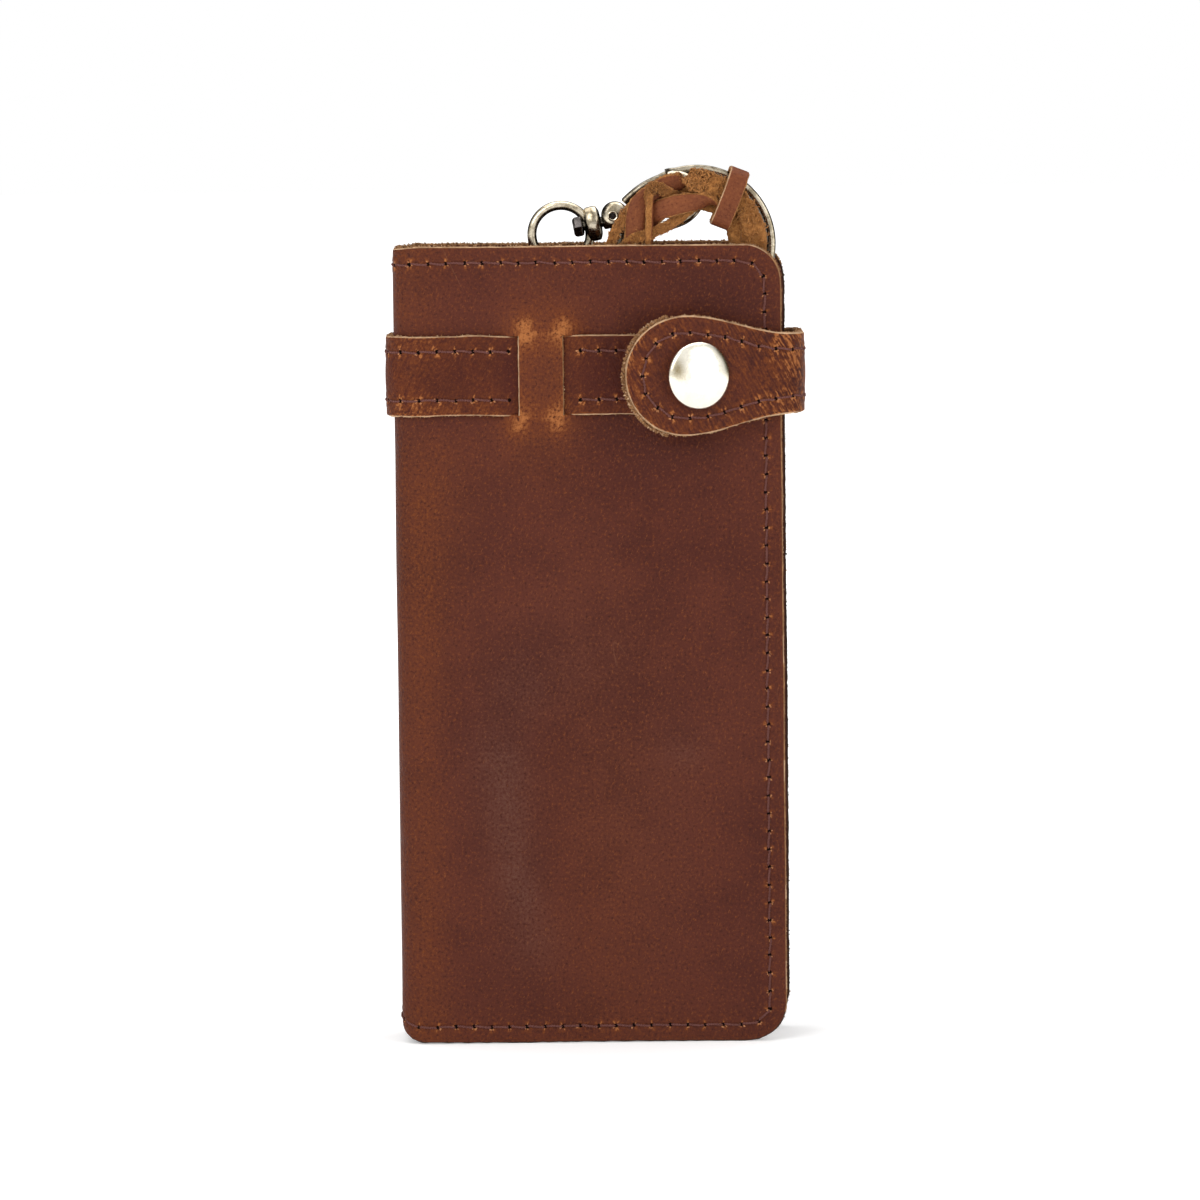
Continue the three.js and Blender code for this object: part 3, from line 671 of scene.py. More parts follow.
# ---------------------------------------------------------------- camera, light, floor

FACE_Y = (-13.0 + 4.8) / 1000
AIM = Vector((0.00068, FACE_Y, 0.1087))
CAM = Vector((0.00068, FACE_Y - 1.60, 0.2457))
ROLL = math.radians(0.62)

cam_data = bpy.data.cameras.new("camera")
cam = bpy.data.objects.new("camera", cam_data)
bpy.context.scene.collection.objects.link(cam)
cam.location = CAM
look = (AIM - CAM).to_track_quat("-Z", "Y")
cam.rotation_mode = "QUATERNION"
cam.rotation_quaternion = Quaternion((AIM - CAM).normalized(), ROLL) @ look
cam_data.sensor_width = 36.0
cam_data.lens = 36.0 * (AIM - CAM).length / 0.2925
cam_data.clip_start, cam_data.clip_end = 0.05, 60.0
bpy.context.scene.camera = cam
bpy.context.scene.view_settings.view_transform = "Standard"


def area(name, place, target, size, watts, colour=(1, 1, 1)):
    data = bpy.data.lights.new(name, "AREA")
    data.shape = "RECTANGLE"
    data.size, data.size_y = size
    data.energy = watts
    data.color = colour
    o = bpy.data.objects.new(name, data)
    o.location = place
    o.rotation_mode = "QUATERNION"
    o.rotation_quaternion = (Vector(target) - Vector(place)).to_track_quat("-Z", "Y")
    bpy.context.scene.collection.objects.link(o)
    return o


area("key_softbox", (-0.75, -1.15, 0.95), (0, 0, 0.10), (0.9, 0.9), 9.6, (1.0, 0.985, 0.965))
area("fill_softbox", (1.05, -1.00, 0.55), (0, 0, 0.10), (0.7, 1.0), 4.5)
area("top_softbox", (0.0, 0.15, 1.45), (0, 0, 0.0), (1.6, 1.4), 14.5)

world = bpy.data.worlds.new("studio")
bpy.context.scene.world = world
world.use_nodes = True
wt = world.node_tree
wt.nodes.clear()
w_out = wt.nodes.new("ShaderNodeOutputWorld")
w_mix = wt.nodes.new("ShaderNodeMixShader")
w_kind = wt.nodes.new("ShaderNodeMixShader")
w_path = wt.nodes.new("ShaderNodeLightPath")
strengths = []
for power in (0.34, 0.95, 1.0):                     # for diffuse light, for gloss, and as seen
    w = wt.nodes.new("ShaderNodeBackground")
    w.inputs[0].default_value = (1, 1, 1, 1)
    w.inputs[1].default_value = power
    strengths.append(w.outputs[0])
w_way = wt.nodes.new("ShaderNodeTexCoord")
w_xyz = wt.nodes.new("ShaderNodeSeparateXYZ")
wt.links.new(w_way.outputs["Generated"], w_xyz.inputs[0])
w_parts = []
for axis, a, c in (("Y", 0.22, -0.36), ("Z", 0.45, 0.85)):
    n = wt.nodes.new("ShaderNodeMapRange")
    n.interpolation_type = "SMOOTHSTEP"
    wt.links.new(w_xyz.outputs[axis], n.inputs["Value"])
    n.inputs["From Min"].default_value, n.inputs["From Max"].default_value = a, c
    n.inputs["To Min"].default_value, n.inputs["To Max"].default_value = 0.06, 0.98
    w_parts.append(n.outputs[0])
w_most = wt.nodes.new("ShaderNodeMath")
w_most.operation = "MAXIMUM"
wt.links.new(w_parts[0], w_most.inputs[0])
wt.links.new(w_parts[1], w_most.inputs[1])
wt.links.new(w_most.outputs[0], strengths[1].node.inputs[1])
wt.links.new(w_path.outputs["Is Glossy Ray"], w_kind.inputs[0])
wt.links.new(strengths[0], w_kind.inputs[1])
wt.links.new(strengths[1], w_kind.inputs[2])
wt.links.new(w_path.outputs["Is Camera Ray"], w_mix.inputs[0])
wt.links.new(w_kind.outputs[0], w_mix.inputs[1])
wt.links.new(strengths[2], w_mix.inputs[2])
wt.links.new(w_mix.outputs[0], w_out.inputs[0])

floor_mesh = bpy.data.meshes.new("floor")
floor_mesh.from_pydata([(-9, -9, 0), (9, -9, 0), (9, 9, 0), (-9, 9, 0)], [], [(0, 1, 2, 3)])
floor = bpy.data.objects.new("floor", floor_mesh)
floor.location = (0, 0, -0.0002)
bpy.context.scene.collection.objects.link(floor)
kf = Nodes("floor_white")
kf.set(Base_Color=kf.mix(kf.noise(kf.place("object"), 0.01, 2, 0.5), (0.90, 0.90, 0.90), (0.93, 0.93, 0.93)), Roughness=0.9)
kf.bsdf.inputs["Specular IOR Level"].default_value = 0.0
kf.bsdf.inputs["Emission Color"].default_value = (1, 1, 1, 1)
far = kf.t.nodes.new("ShaderNodeVectorMath")
far.operation = "LENGTH"
kf.t.links.new(kf.place("object"), far.inputs[0])
kf.put(kf.bsdf.inputs["Emission Strength"], kf.span(far.outputs["Value"], 220.0, 1200.0, 0.32, 1.0))
floor_mesh.materials.append(kf.m)


# ---------------------------------------------------------------- leather layout

def plan(u, half_y, spine_x, r, side):
    """Plan of leather folded round the spine, u mm from the middle of the spine: point and outward direction."""
    u = np.asarray(u, float)
    straight, arc = half_y - r, math.pi / 2 * r
    a = np.clip((u - straight) / r, 0, math.pi / 2)
    over = np.clip(u - straight - arc, 0, None)
    x = spine_x + r * (1 - np.cos(a)) + over
    y = np.minimum(u, straight) + r * np.sin(a)
    return x, side * y, -np.cos(a), side * np.sin(a)


def spread(*parts):
    """Grid lines: joins (from, to, step) runs, without repeats."""
    out = []
    for lo, hi, step in parts:
        m = max(1, int(round(abs(hi - lo) / step)))
        out += list(np.linspace(lo, hi, m + 1))
    keep = [out[0]]
    for v in out[1:]:
        if abs(v - keep[-1]) > 1e-6:
            keep.append(v)
    return np.array(keep)


EDGE_LINES = [0.0, 0.95, 2.0, 3.1, 4.0, 4.9, 6.2, 7.7, 9.2]


def round_corner(a, b):
    """A unit square's corner bent into a quarter disc. a and b are 0 inside and 1 at the two edges."""
    m = np.maximum(a, b)
    ang = np.where(b < a, math.pi / 4 * b / np.maximum(a, 1e-9), math.pi / 2 - math.pi / 4 * a / np.maximum(b, 1e-9))
    return m * np.cos(ang), m * np.sin(ang)


def hash_noise(x, z, scale, seed=0.0):
    return np.array([noise.noise(Vector((a * scale, seed, c * scale))) for a, c in zip(np.ravel(x), np.ravel(z))]).reshape(np.shape(x))


def sew(b, holes, normals, seed, size=1.0, pucker=1.0, coarse=False):
    """A row of lock stitches on the leather's face: holes, painted near-black as their shade, in puckered leather
    pulled to orange rays, joined by twisted thread that dives into them."""
    rng = random.Random(seed)
    normals = unit(normals)
    m = len(holes)
    jitter = np.array([[rng.uniform(-0.14, 0.14) for _ in range(3)] for _ in range(m)])
    holes = np.asarray(holes, float) + jitter - normals * np.sum(jitter * normals, 1)[:, None]
    holes = np.array([on_skin(b, h)[0] for h in holes])
    SEG = 12 if coarse else 24
    # radius, height along the seam and across it, share of the pucker's colour
    rings = [(0.43, 0.02, 0.02, 0.6), (0.50, 0.08, 0.10, 1.0), (0.80, 0.06, 0.15, 1.0), (1.15, 0.05, 0.17, 0.85), (1.60, 0.03, 0.13, 0.50),
             (2.05, 0.0, 0.03, 0.10), (2.35, -0.07, -0.07, 0.0)]
    for i in range(m):
        p, n = holes[i], normals[i]
        t = unit(holes[min(i + 1, m - 1)] - holes[max(i - 1, 0)])
        t = unit(t - n * (t @ n))
        s = np.cross(n, t)
        wide = size * rng.uniform(0.88, 1.12)
        lobes = []
        for way in (-1, 1):
            for _ in range(rng.randint(1, 3)):
                lobes.append((way * math.pi / 2 + rng.uniform(-0.8, 0.8), rng.uniform(0.5, 1.25), rng.uniform(0.16, 0.34), rng.uniform(0.7, 1.25)))
        pts, pull, bloom_and_painted_light, flat = [], [], [], []
        for r, low, high, share in rings:
            for k in range(SEG):
                a = 2 * math.pi * k / SEG
                ray = 0.0
                for at, amp, spread_, far in lobes:
                    off = (a - at + math.pi) % (2 * math.pi) - math.pi
                    ray = max(ray, amp * math.exp(-(off / spread_) ** 2) * (1.0 if r < 1.3 * far else 0.30))
                q, w = on_skin(b, p + (math.cos(a) * t + math.sin(a) * s) * r * wide)
                high_here = low + (high - low) * abs(math.sin(a)) ** 1.5 + 0.04 * ray * (0.45 < r < 1.4)
                pts.append(q + n * high_here * size)
                pull.append(w[0] + share * pucker * (0.06 + 1.15 * ray))
                bloom_and_painted_light.append(w[1])
                flat.append(w[2:])
        q, w = on_skin(b, p)
        pts.append(q + n * 0.02)
        pull.append(0.0)
        bloom_and_painted_light.append(0.0)
        flat.append(w[2:])
        faces, mats = [], []
        # the innermost ring and the centre fan take the hole material: painted shade for the hole's depth
        for q in range(len(rings) - 1):
            for k in range(SEG):
                e = (k + 1) % SEG
                faces.append(((q + 1) * SEG + k, (q + 1) * SEG + e, q * SEG + e, q * SEG + k))
                mats.append(SEW[2] if q == 0 else 0)
        for k in range(SEG):
            faces.append((k, (k + 1) % SEG, len(pts) - 1))
            mats.append(SEW[2])
        b.add(pts, faces, mats, flat, np.clip(pull, 0, 1.3), bloom_and_painted_light)
        # bright torn-grain chips bunched on each hole's lower side: real torn grain, placed as a painted highlight
        # where light from above catches the lower lip
        low = math.atan2(-s[2], -t[2])
        lip_highlights = [] if coarse else [(low + rng.uniform(-1.9, 1.9), 1.0, 0.2, rng.uniform(0.90, 1.30)) for _ in range(rng.randint(3, 5))]
        for at, amp, spread_, far in lobes + lip_highlights:
            if amp < 0.85 or rng.random() < 0.25:
                continue
            way = math.cos(at) * t + math.sin(at) * s
            side = math.cos(at) * s - math.sin(at) * t
            r0, r1 = 0.42 * size, rng.uniform(0.80, 1.15) * far * size
            w = rng.uniform(0.13, 0.26) * size
            up = (0.12 + 0.08 * abs(math.sin(at))) * size
            chip = [p + way * r0 + n * (up - 0.04), p + way * (r0 + r1) / 2 + side * w + n * up, p + way * r1 + n * (up - 0.01), p + way * (r0 + r1) / 2 - side * w + n * up,
                    p + way * (r0 + r1) / 2 + n * (up + 0.08)]
            b.add(chip, [(0, 3, 4), (3, 2, 4), (2, 1, 4), (1, 0, 4)], SEW[1])
    for i in range(m - 1):
        a, c = holes[i], holes[i + 1]
        gap = np.linalg.norm(c - a)
        if gap > 2.2 * PITCH:
            continue
        n0, n1 = normals[i], normals[i + 1]
        nm = unit(n0 + n1)
        t = unit(c - a)
        s = np.cross(nm, t)
        lean = rng.uniform(0.06, 0.26)
        bow = on_skin(b, (a + c) / 2)[0] + nm * 0.17 * size + s * rng.uniform(-0.12, 0.12)
        path = catmull([a - n0 * 0.10 + t * 0.36 + s * lean * 0.5, a + t * 0.60 + n0 * 0.15 * size + s * lean, (a + bow) / 2 + nm * 0.08 * size + s * lean * 0.6, bow,
                        (c + bow) / 2 + nm * 0.08 * size - s * lean * 0.6, c - t * 0.60 + n1 * 0.15 * size - s * lean, c - n1 * 0.10 - t * 0.36 - s * lean * 0.5], 2 if coarse else 3)
        fat = 0.29 * size
        twist = rng.uniform(0, 6)
        tan = unit(np.gradient(path, axis=0))
        up = unit(nm - tan * (tan @ nm)[:, None])
        away = np.cross(tan, up)
        dist = np.concatenate([[0], np.cumsum(np.linalg.norm(np.diff(path, axis=0), axis=1))])
        for ply in (0, math.pi):                        # two strands laid round each other
            ang = (dist * 4.2 + ply + twist)[:, None]
            co, faces = tube(path + (up * np.cos(ang) + away * np.sin(ang)) * fat * 0.46, fat * 0.66, 5)
            b.add(co, faces, SEW[0], co + [0, 0, 40.0 * rng.random()])


# ---------------------------------------------------------------- covers

def cover(side, x_end, name, seed):
    """One cover with its half of the spine, as one piece of leather. side is -1 for the front and 1 for the back."""
    straight, arc = HIDE_Y - FOLD_R, math.pi / 2 * FOLD_R
    flat_u = straight + arc
    flat_x = SPINE_X + FOLD_R
    front = side < 0
    if front:
        xs = spread((flat_x, BRIDGE_X0, 1.55), (BRIDGE_X0, BRIDGE_X1, 1.44), (BRIDGE_X1, x_end - CORNER_R, 1.6))
        zs = spread((CORNER_R, STRAP_Z - SLIT_HALF - 8, 1.7), (STRAP_Z - SLIT_HALF - 8, STRAP_Z - SLIT_HALF, 1.0),
                    (STRAP_Z - SLIT_HALF, STRAP_Z - SLIT_HALF + 0.7, 0.7),
                    (STRAP_Z - SLIT_HALF + 0.7, STRAP_Z + SLIT_HALF - 0.7, 1.5),
                    (STRAP_Z + SLIT_HALF - 0.7, STRAP_Z + SLIT_HALF, 0.7),
                    (STRAP_Z + SLIT_HALF, STRAP_Z + SLIT_HALF + 8, 1.0), (STRAP_Z + SLIT_HALF + 8, HEIGHT - CORNER_R, 1.5))
    else:
        xs = spread((flat_x, x_end - CORNER_R, 1.8))
        zs = spread((CORNER_R, HEIGHT - CORNER_R, 1.9))
    xs = np.concatenate([xs[:-1], x_end - np.array(EDGE_LINES[::-1])])
    us = np.concatenate([spread((0, straight, 1.6), (straight, flat_u, 0.8))[:-1], flat_u + xs - flat_x])
    zs = np.concatenate([np.array(EDGE_LINES[:-1]), zs, (HEIGHT - np.array(EDGE_LINES[::-1]))[1:]])
    nu, nz = len(us), len(zs)
    i0 = int(np.argmin(np.abs(us - (flat_u + BRIDGE_X0 - flat_x))))
    i1 = int(np.argmin(np.abs(us - (flat_u + BRIDGE_X1 - flat_x))))
    j0 = int(np.argmin(np.abs(zs - (STRAP_Z - SLIT_HALF))))
    j1 = int(np.argmin(np.abs(zs - (STRAP_Z + SLIT_HALF))))

    keys, index = [], {}

    def vert(i, j, right):
        split = front and i in (i0, i1) and j0 < j < j1
        key = (i, j, right if split else None)
        if key not in index:
            index[key] = len(keys)
            keys.append(key)
        return index[key]

    faces = []
    for i in range(nu - 1):
        for j in range(nz - 1):
            q = (vert(i, j, True), vert(i + 1, j, False), vert(i + 1, j + 1, False), vert(i, j + 1, True))
            faces.append(q if front else q[::-1])
    ii = np.array([k[0] for k in keys])
    jj = np.array([k[1] for k in keys])
    right = np.array([k[2] is True for k in keys])
    split = np.array([k[2] is not None for k in keys])
    u, z = us[ii], zs[jj]
    x, y, nx, ny = plan(u, HIDE_Y, SPINE_X, FOLD_R, side)
    # round corners at the open edge
    ca = np.clip((x - (x_end - CORNER_R)) / CORNER_R, 0, 1)
    cb = np.clip((np.abs(z - HEIGHT / 2) - (HEIGHT / 2 - CORNER_R)) / CORNER_R, 0, 1)
    ra, rb = round_corner(ca, cb)
    inside = (ca > 0) & (cb > 0)
    d_right = np.where(x > 0, x_end - x, 99.0)
    d_end = np.minimum(z, HEIGHT - z)
    d_edge = np.minimum(d_right, d_end)
    sign = np.where(z > HEIGHT / 2, 1.0, -1.0)
    x = np.where(inside, x_end - CORNER_R + ra * CORNER_R, x)
    z = np.where(inside, HEIGHT / 2 + sign * (HEIGHT / 2 - CORNER_R + rb * CORNER_R), z)
    # the leather is drawn up a little round the spine
    turn = smooth(-39.5, -47.0, x)
    drawn = 1 - np.sqrt(1 - np.clip((flat_x - x) / FOLD_R, 0, 1) ** 2)
    z = z + 3.7 * drawn * np.clip(1 - z / 26, 0, 1) ** 2 - 0.5 * turn ** 2 * np.clip(1 - (HEIGHT - z) / 20, 0, 1) ** 2
    # slight waviness of the long edges
    z = z + 0.22 * np.clip(1 - d_end / 8, 0, 1) * hash_noise(x, z * 0 + side * 7 + (zs[jj] > 90) * 3, 0.035, 3.0) * (1 - inside)
    x = x + 0.22 * np.clip(1 - d_right / 8, 0, 1) * hash_noise(z, x * 0 + side * 5, 0.03, 9.0) * (1 - inside)
    # soft fullness between the seams
    full = smooth(4.5, 26, d_right) * smooth(4.5, 26, d_end) * smooth(-41.5, -27, x)
    strap_zone = smooth(20, 11.5, np.abs(z - STRAP_Z))
    wave = hash_noise(x, z, 0.030, 1.0 + side) + 0.5 * hash_noise(x, z, 0.075, 4.0 + side)
    push = full * (1 - strap_zone) * (0.55 + 0.38 * wave)
    push -= 0.13 * np.exp(-((d_edge - SEAM) / 0.75) ** 2)
    spine_wave = 0.22 * hash_noise(z, x * 0 + 2.0, 0.022, 6.0) * smooth(6, 20, d_end) * turn * (1 - strap_zone)
    push += spine_wave
    dz = np.abs(zs[jj] - STRAP_Z)
    thick = HIDE_T - 0.30 * np.exp(-d_edge / 1.6)
    pull = np.zeros(len(x))
    bloom_and_painted_light = np.zeros(len(x))
    if front:
        xb = us[ii] - flat_u + flat_x
        gap = np.maximum(0, np.maximum(BRIDGE_X0 - xb, xb - BRIDGE_X1))
        within = (ii > i0) & (ii < i1) | split & np.where(ii == i0, right, ~right)
        ramp = smooth(SLIT_HALF + 7.5, SLIT_HALF - 0.4, dz)
        g = np.exp(-(gap / 3.4) ** 2)
        crown = 0.22 * (1 - ((xb - (BRIDGE_X0 + BRIDGE_X1) / 2) / 5.75) ** 2)
        beside = -0.22 * np.exp(-(gap / 4.0) ** 2) * smooth(9.9, 8.5, dz)
        lift = np.where(dz > SLIT_HALF - 0.05, BRIDGE_LIFT * ramp * g, np.where(within, BRIDGE_LIFT + crown, beside))
        push += lift
        thick = thick - 0.45 * np.clip(lift / BRIDGE_LIFT, 0, 1)
        # pulled leather: round the bridge, the spine fold, along the top
        for cx, cz, amp in ((BRIDGE_X0 + 1.4, STRAP_Z + SLIT_HALF + 1.0, 1.0), (BRIDGE_X1 + 0.2, STRAP_Z + SLIT_HALF + 1.3, 0.95),
                            (BRIDGE_X0 - 0.2, STRAP_Z - SLIT_HALF - 1.6, 0.85), (BRIDGE_X1 - 1.5, STRAP_Z - SLIT_HALF - 1.2, 0.9)):
            away = np.hypot((x - cx) / 1.0, (z - cz) / 1.10)
            pull += 0.86 * amp * np.exp(-(away / 2.5) ** 2) + 0.52 * amp * np.exp(-(away / 5.4) ** 2)
        pull += np.where(within & (dz < SLIT_HALF), 0.34 + 0.25 * np.abs(xb - (BRIDGE_X0 + BRIDGE_X1) / 2) / 5.75, 0)
        pull += 0.13 * np.exp(-((x + 12.0) / 10) ** 2) * smooth(STRAP_Z + 8, STRAP_Z + 16, z) * smooth(HEIGHT + 4, HEIGHT - 14, z)
        pull += 0.16 * np.exp(-((x + 12.5) / 12) ** 2) * np.exp(-((z - 143) / 8) ** 2)
        pull += 0.40 * np.exp(-((x + 41) / 4.6) ** 2) * (0.75 + 0.5 * hash_noise(x * 0, z, 0.02, 8.0)) * smooth(150, 130, z)
        pull += 0.26 * np.exp(-((x + 38) / 9) ** 2) * smooth(70, 140, z) * smooth(154, 146, z)
        pull += 0.20 * np.exp(-((x + 42) / 7) ** 2) * smooth(172, 178, z)
        pull += 0.16 * np.exp(-((x - 3) / 14) ** 2) * np.exp(-((z - 40) / 60) ** 2)
        # greyer patches of wax bloom and painted sheen on the front
        for bx, bz, sx, sz, amp in ((-22, 56, 6, 14, 0.50), (-18, 38, 5, 9, 0.42), (-19, 88, 8, 9, 0.24), (-25, 70, 7, 9, 0.28),
                                    (22, 72, 6, 5, 0.22), (-5, 95, 16, 14, 0.12), (-16, 24, 7, 7, 0.25), (8, 60, 18, 25, 0.08)):
            bloom_and_painted_light += amp * np.exp(-((x - bx) / sx) ** 2 - ((z - bz) / sz) ** 2)
    else:
        pull += 0.40 * np.exp(-((x + 41) / 5) ** 2)
        pull += 0.16 * np.exp(-((x - 10) / 20) ** 2) * np.exp(-((z - 70) / 40) ** 2)
        # the same wax bloom and painted sheen on the back
        for bx, bz, sx, sz, amp in ((12, 70, 10, 20, 0.35), (-14, 110, 9, 12, 0.25), (20, 30, 8, 8, 0.25)):
            bloom_and_painted_light += amp * np.exp(-((x - bx) / sx) ** 2 - ((z - bz) / sz) ** 2)
    pull += 0.20 * np.exp(-d_edge / 1.8) + 0.05 * smooth(12, 4, d_end)
    pull += 0.14 * turn
    co = np.stack([x + nx * push, y + ny * push, z], 1)
    flat = np.stack([u * 1.0, np.full(len(u), 60.0 * side), z], 1)
    plain = ii == 0
    b = Build()
    # the bottom edge and the back cover's open edge get a burnished dark edge; along the bottom it is also painted
    # shade where the wallet meets the floor
    edge = cut_sheet(b, co, faces, thick, (0, 1, 2, 6), flat, np.clip(pull, 0, 1.4), np.clip(bloom_and_painted_light, 0, 1), r=0.36, plain=plain, ragged=0.14, seed=seed,
                     dim=lambda q, d: d[0] > 0.6 and noise.noise(Vector((q[2] * 0.10, 7.0, seed))) > -0.22,
                     burn_shade=lambda q, d: d[2] < -0.35 or not front and d[0] > 0.5)
    top_edge = [e for e in edge if e[1][2] > 0.3]
    open_edge = [e for e in edge if e[1][0] > 0.5]
    fibres(b, top_edge, 6, 260 if front else 420, seed + 1, 0.9)
    fibres(b, open_edge, 6, 160 if front else 260, seed + 2, 0.8)
    crumbs(b, top_edge, (6, 2, 6), 420 if front else 520, seed + 3, 0.24)
    crumbs(b, open_edge, (6, 6, 2) if front else (6, 7, 7), 380 if front else 420, seed + 4, 0.16)
    # stitches: up from the spine along the bottom, round the open edge and back along the top
    r = CORNER_R - SEAM
    xr, zt = x_end - SEAM, HEIGHT - SEAM
    arc_pts = [(x_end - CORNER_R + r * math.sin(a), CORNER_R - r * math.cos(a)) for a in np.linspace(0, math.pi / 2, 9)]
    run = [np.array([0.0, SEAM])]
    u_corner = flat_u + (x_end - CORNER_R) - flat_x
    run += [np.array([w, SEAM]) for w in np.linspace(0.5, u_corner, 120)]
    run += [np.array([flat_u + px - flat_x, pz]) for px, pz in arc_pts[1:]]
    run += [np.array([flat_u + xr - flat_x, w]) for w in np.linspace(CORNER_R + 0.5, HEIGHT - CORNER_R, 160)]
    run += [np.array([flat_u + px - flat_x, HEIGHT - pz]) for px, pz in arc_pts[::-1][1:]]
    run += [np.array([w, zt]) for w in np.linspace(u_corner - 0.5, 0.0, 120)]
    run, _ = along(np.array(run), PITCH)
    run = run[1:-1] if front else run
    hx, hy, hnx, hny = plan(run[:, 0], HIDE_Y, SPINE_X, FOLD_R, side)
    t = smooth(-39.5, -47.0, hx)
    drawn = 1 - np.sqrt(1 - np.clip((flat_x - hx) / FOLD_R, 0, 1) ** 2)
    hz = run[:, 1] + 3.7 * drawn * np.clip(1 - run[:, 1] / 26, 0, 1) ** 2 - 0.5 * t ** 2 * np.clip(1 - (HEIGHT - run[:, 1]) / 20, 0, 1) ** 2
    top = HIDE_T / 2 - 0.16
    holes = np.stack([hx + hnx * top, hy + hny * top, hz], 1)
    sew(b, holes, np.stack([hnx, hny, np.zeros(len(hx))], 1), seed + 5)
    return b.make(name, hide_mats(M_HIDE, M_INNER))


front = cover(-1, FRONT_RIGHT, "front_cover_leather", 11)
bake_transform(front)
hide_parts("front_cover")
back = cover(1, BACK_RIGHT, "back_cover_leather", 23)
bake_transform(back)
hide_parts("back_cover", "spine_panel")


# ---------------------------------------------------------------- strap

STRAP_LINES = [0.0, 0.8, 1.8, 2.9, 3.8, 4.7, 6.2, 8.0]


def strap_rows(half):
    side = [half - d for d in STRAP_LINES]
    return np.array([-v for v in side] + [0.0] + side[::-1])


def strap_part(name, side, half_y, x_end, seed, square_end):
    """Half of the strap from the middle of the spine along one cover."""
    spine_x, r = -49.0, 7.4
    straight, arc = half_y - r, math.pi / 2 * r
    flat_u, flat_x = straight + arc, spine_x + r
    front = side < 0
    end = 6.0
    if square_end:
        xs = spread((flat_x, x_end, 1.7))
    else:
        xs = np.concatenate([spread((flat_x, BRIDGE_X0 - 4, 1.6), (BRIDGE_X0 - 4, BRIDGE_X1 + 4, 1.0), (BRIDGE_X1 + 4, x_end - end, 1.6))[:-1],
                             x_end - np.array([6.0, 4.7, 3.8, 2.9, 1.8, 0.8, 0.0])])
    us = np.concatenate([spread((0, straight, 1.6), (straight, flat_u, 0.9))[:-1], flat_u + xs - flat_x])
    rows = strap_rows(STRAP_HALF)
    nu, nr = len(us), len(rows)
    ii, jj = [a.ravel() for a in np.meshgrid(np.arange(nu), np.arange(nr), indexing="ij")]
    faces = []
    for i in range(nu - 1):
        for j in range(nr - 1):
            q = (i * nr + j, (i + 1) * nr + j, (i + 1) * nr + j + 1, i * nr + j + 1)
            faces.append(q if front else q[::-1])
    u, off = us[ii], rows[jj]
    x, y, nx, ny = plan(u, half_y, spine_x, r, side)
    if not square_end:
        ca = np.clip((x - (x_end - end)) / end, 0, 1)
        cb = np.clip((np.abs(off) - (STRAP_HALF - end)) / end, 0, 1)
        ra, rb = round_corner(ca, cb)
        inside = (ca > 0) & (cb > 0)
        x = np.where(inside, x_end - end + ra * end, x)
        off = np.where(inside, np.sign(off) * (STRAP_HALF - end + rb * end), off)
    d_edge = STRAP_HALF - np.abs(rows[jj])
    push = 0.20 * smooth(4, 9, d_edge) - 0.10 * np.exp(-((d_edge - 3.8) / 0.7) ** 2)
    thick = np.full(len(x), STRAP_T)
    if front:
        under = smooth(BRIDGE_X0 - 3.5, BRIDGE_X0, x) * smooth(BRIDGE_X1 + 3.5, BRIDGE_X1, x)
        push = push - under * 0.30
        thick = thick - 0.30 * under
    z = STRAP_Z + off + 0.28 * hash_noise(u, jj * 0 + side * 3.0, 0.05, 2.0) + 0.20 * hash_noise(u, np.sign(off) * 4, 0.14, 5.0) * np.clip(1 - d_edge / 3, 0, 1)
    pull = 0.22 + 0.20 * np.exp(-d_edge / 2.0) + 0.22 * np.exp(-((x + 43) / 5) ** 2) + 0.22 * hash_noise(u, z, 0.09, 12.0)
    if front:
        pull += 0.22 * np.exp(-((z - STRAP_Z + 8.0) / 3.0) ** 2) - 0.25 * np.exp(-((x + 19.5) / 2.5) ** 2) - 0.30 * smooth(-4, 6, x)
    co = np.stack([x + nx * push, y + ny * push, z], 1)
    flat = np.stack([u * 1.0, np.full(len(u), 200.0 + 40 * side), z], 1)
    b = Build()
    plain = ii == 0
    if square_end:
        plain = plain | (ii == nu - 1)
    edge = cut_sheet(b, co, faces, thick, (0, 1, 2, 6), flat, np.clip(pull, 0, 1), None, r=0.38, plain=plain, ragged=0.14, seed=seed)
    edge = [e for e in edge if abs(e[1][2]) > 0.5]
    fibres(b, edge, 6, 200, seed + 1, 0.8)
    crumbs(b, edge, (6, 6, 2), 260, seed + 2, 0.20)
    for level in (-1, 1):
        run = np.arange(0.8 if front else PITCH - 0.8, us[-1] - (5.0 if not square_end else 0.5), PITCH)
        hx, hy, hnx, hny = plan(run, half_y, spine_x, r, side)
        keep = np.ones(len(run), bool)
        if front:
            keep = (hx < BRIDGE_X0 - 0.7) | (hx > BRIDGE_X1 + 0.7)
        top = STRAP_T / 2 - 0.10
        hz = STRAP_Z + level * (STRAP_HALF - 3.8) + 0.28 * hash_noise(run, run * 0 + side * 3.0, 0.05, 2.0)
        holes = np.stack([hx + hnx * top, hy + hny * top, hz], 1)[keep]
        sew(b, holes, np.stack([hnx, hny, np.zeros(len(hx))], 1)[keep], seed + 7 + level)
    return b.make(name, hide_mats(M_STRAP))


strap_front = strap_part("strap_front_leather", -1, 14.05, 37.0, 31, False)
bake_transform(strap_front)
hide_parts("strap_front")
strap_rear = strap_part("strap_back_leather", 1, 14.20, 2.0, 37, True)
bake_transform(strap_rear)
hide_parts("strap_spine", "strap_back")

# ---------------------------------------------------------------- snap tab

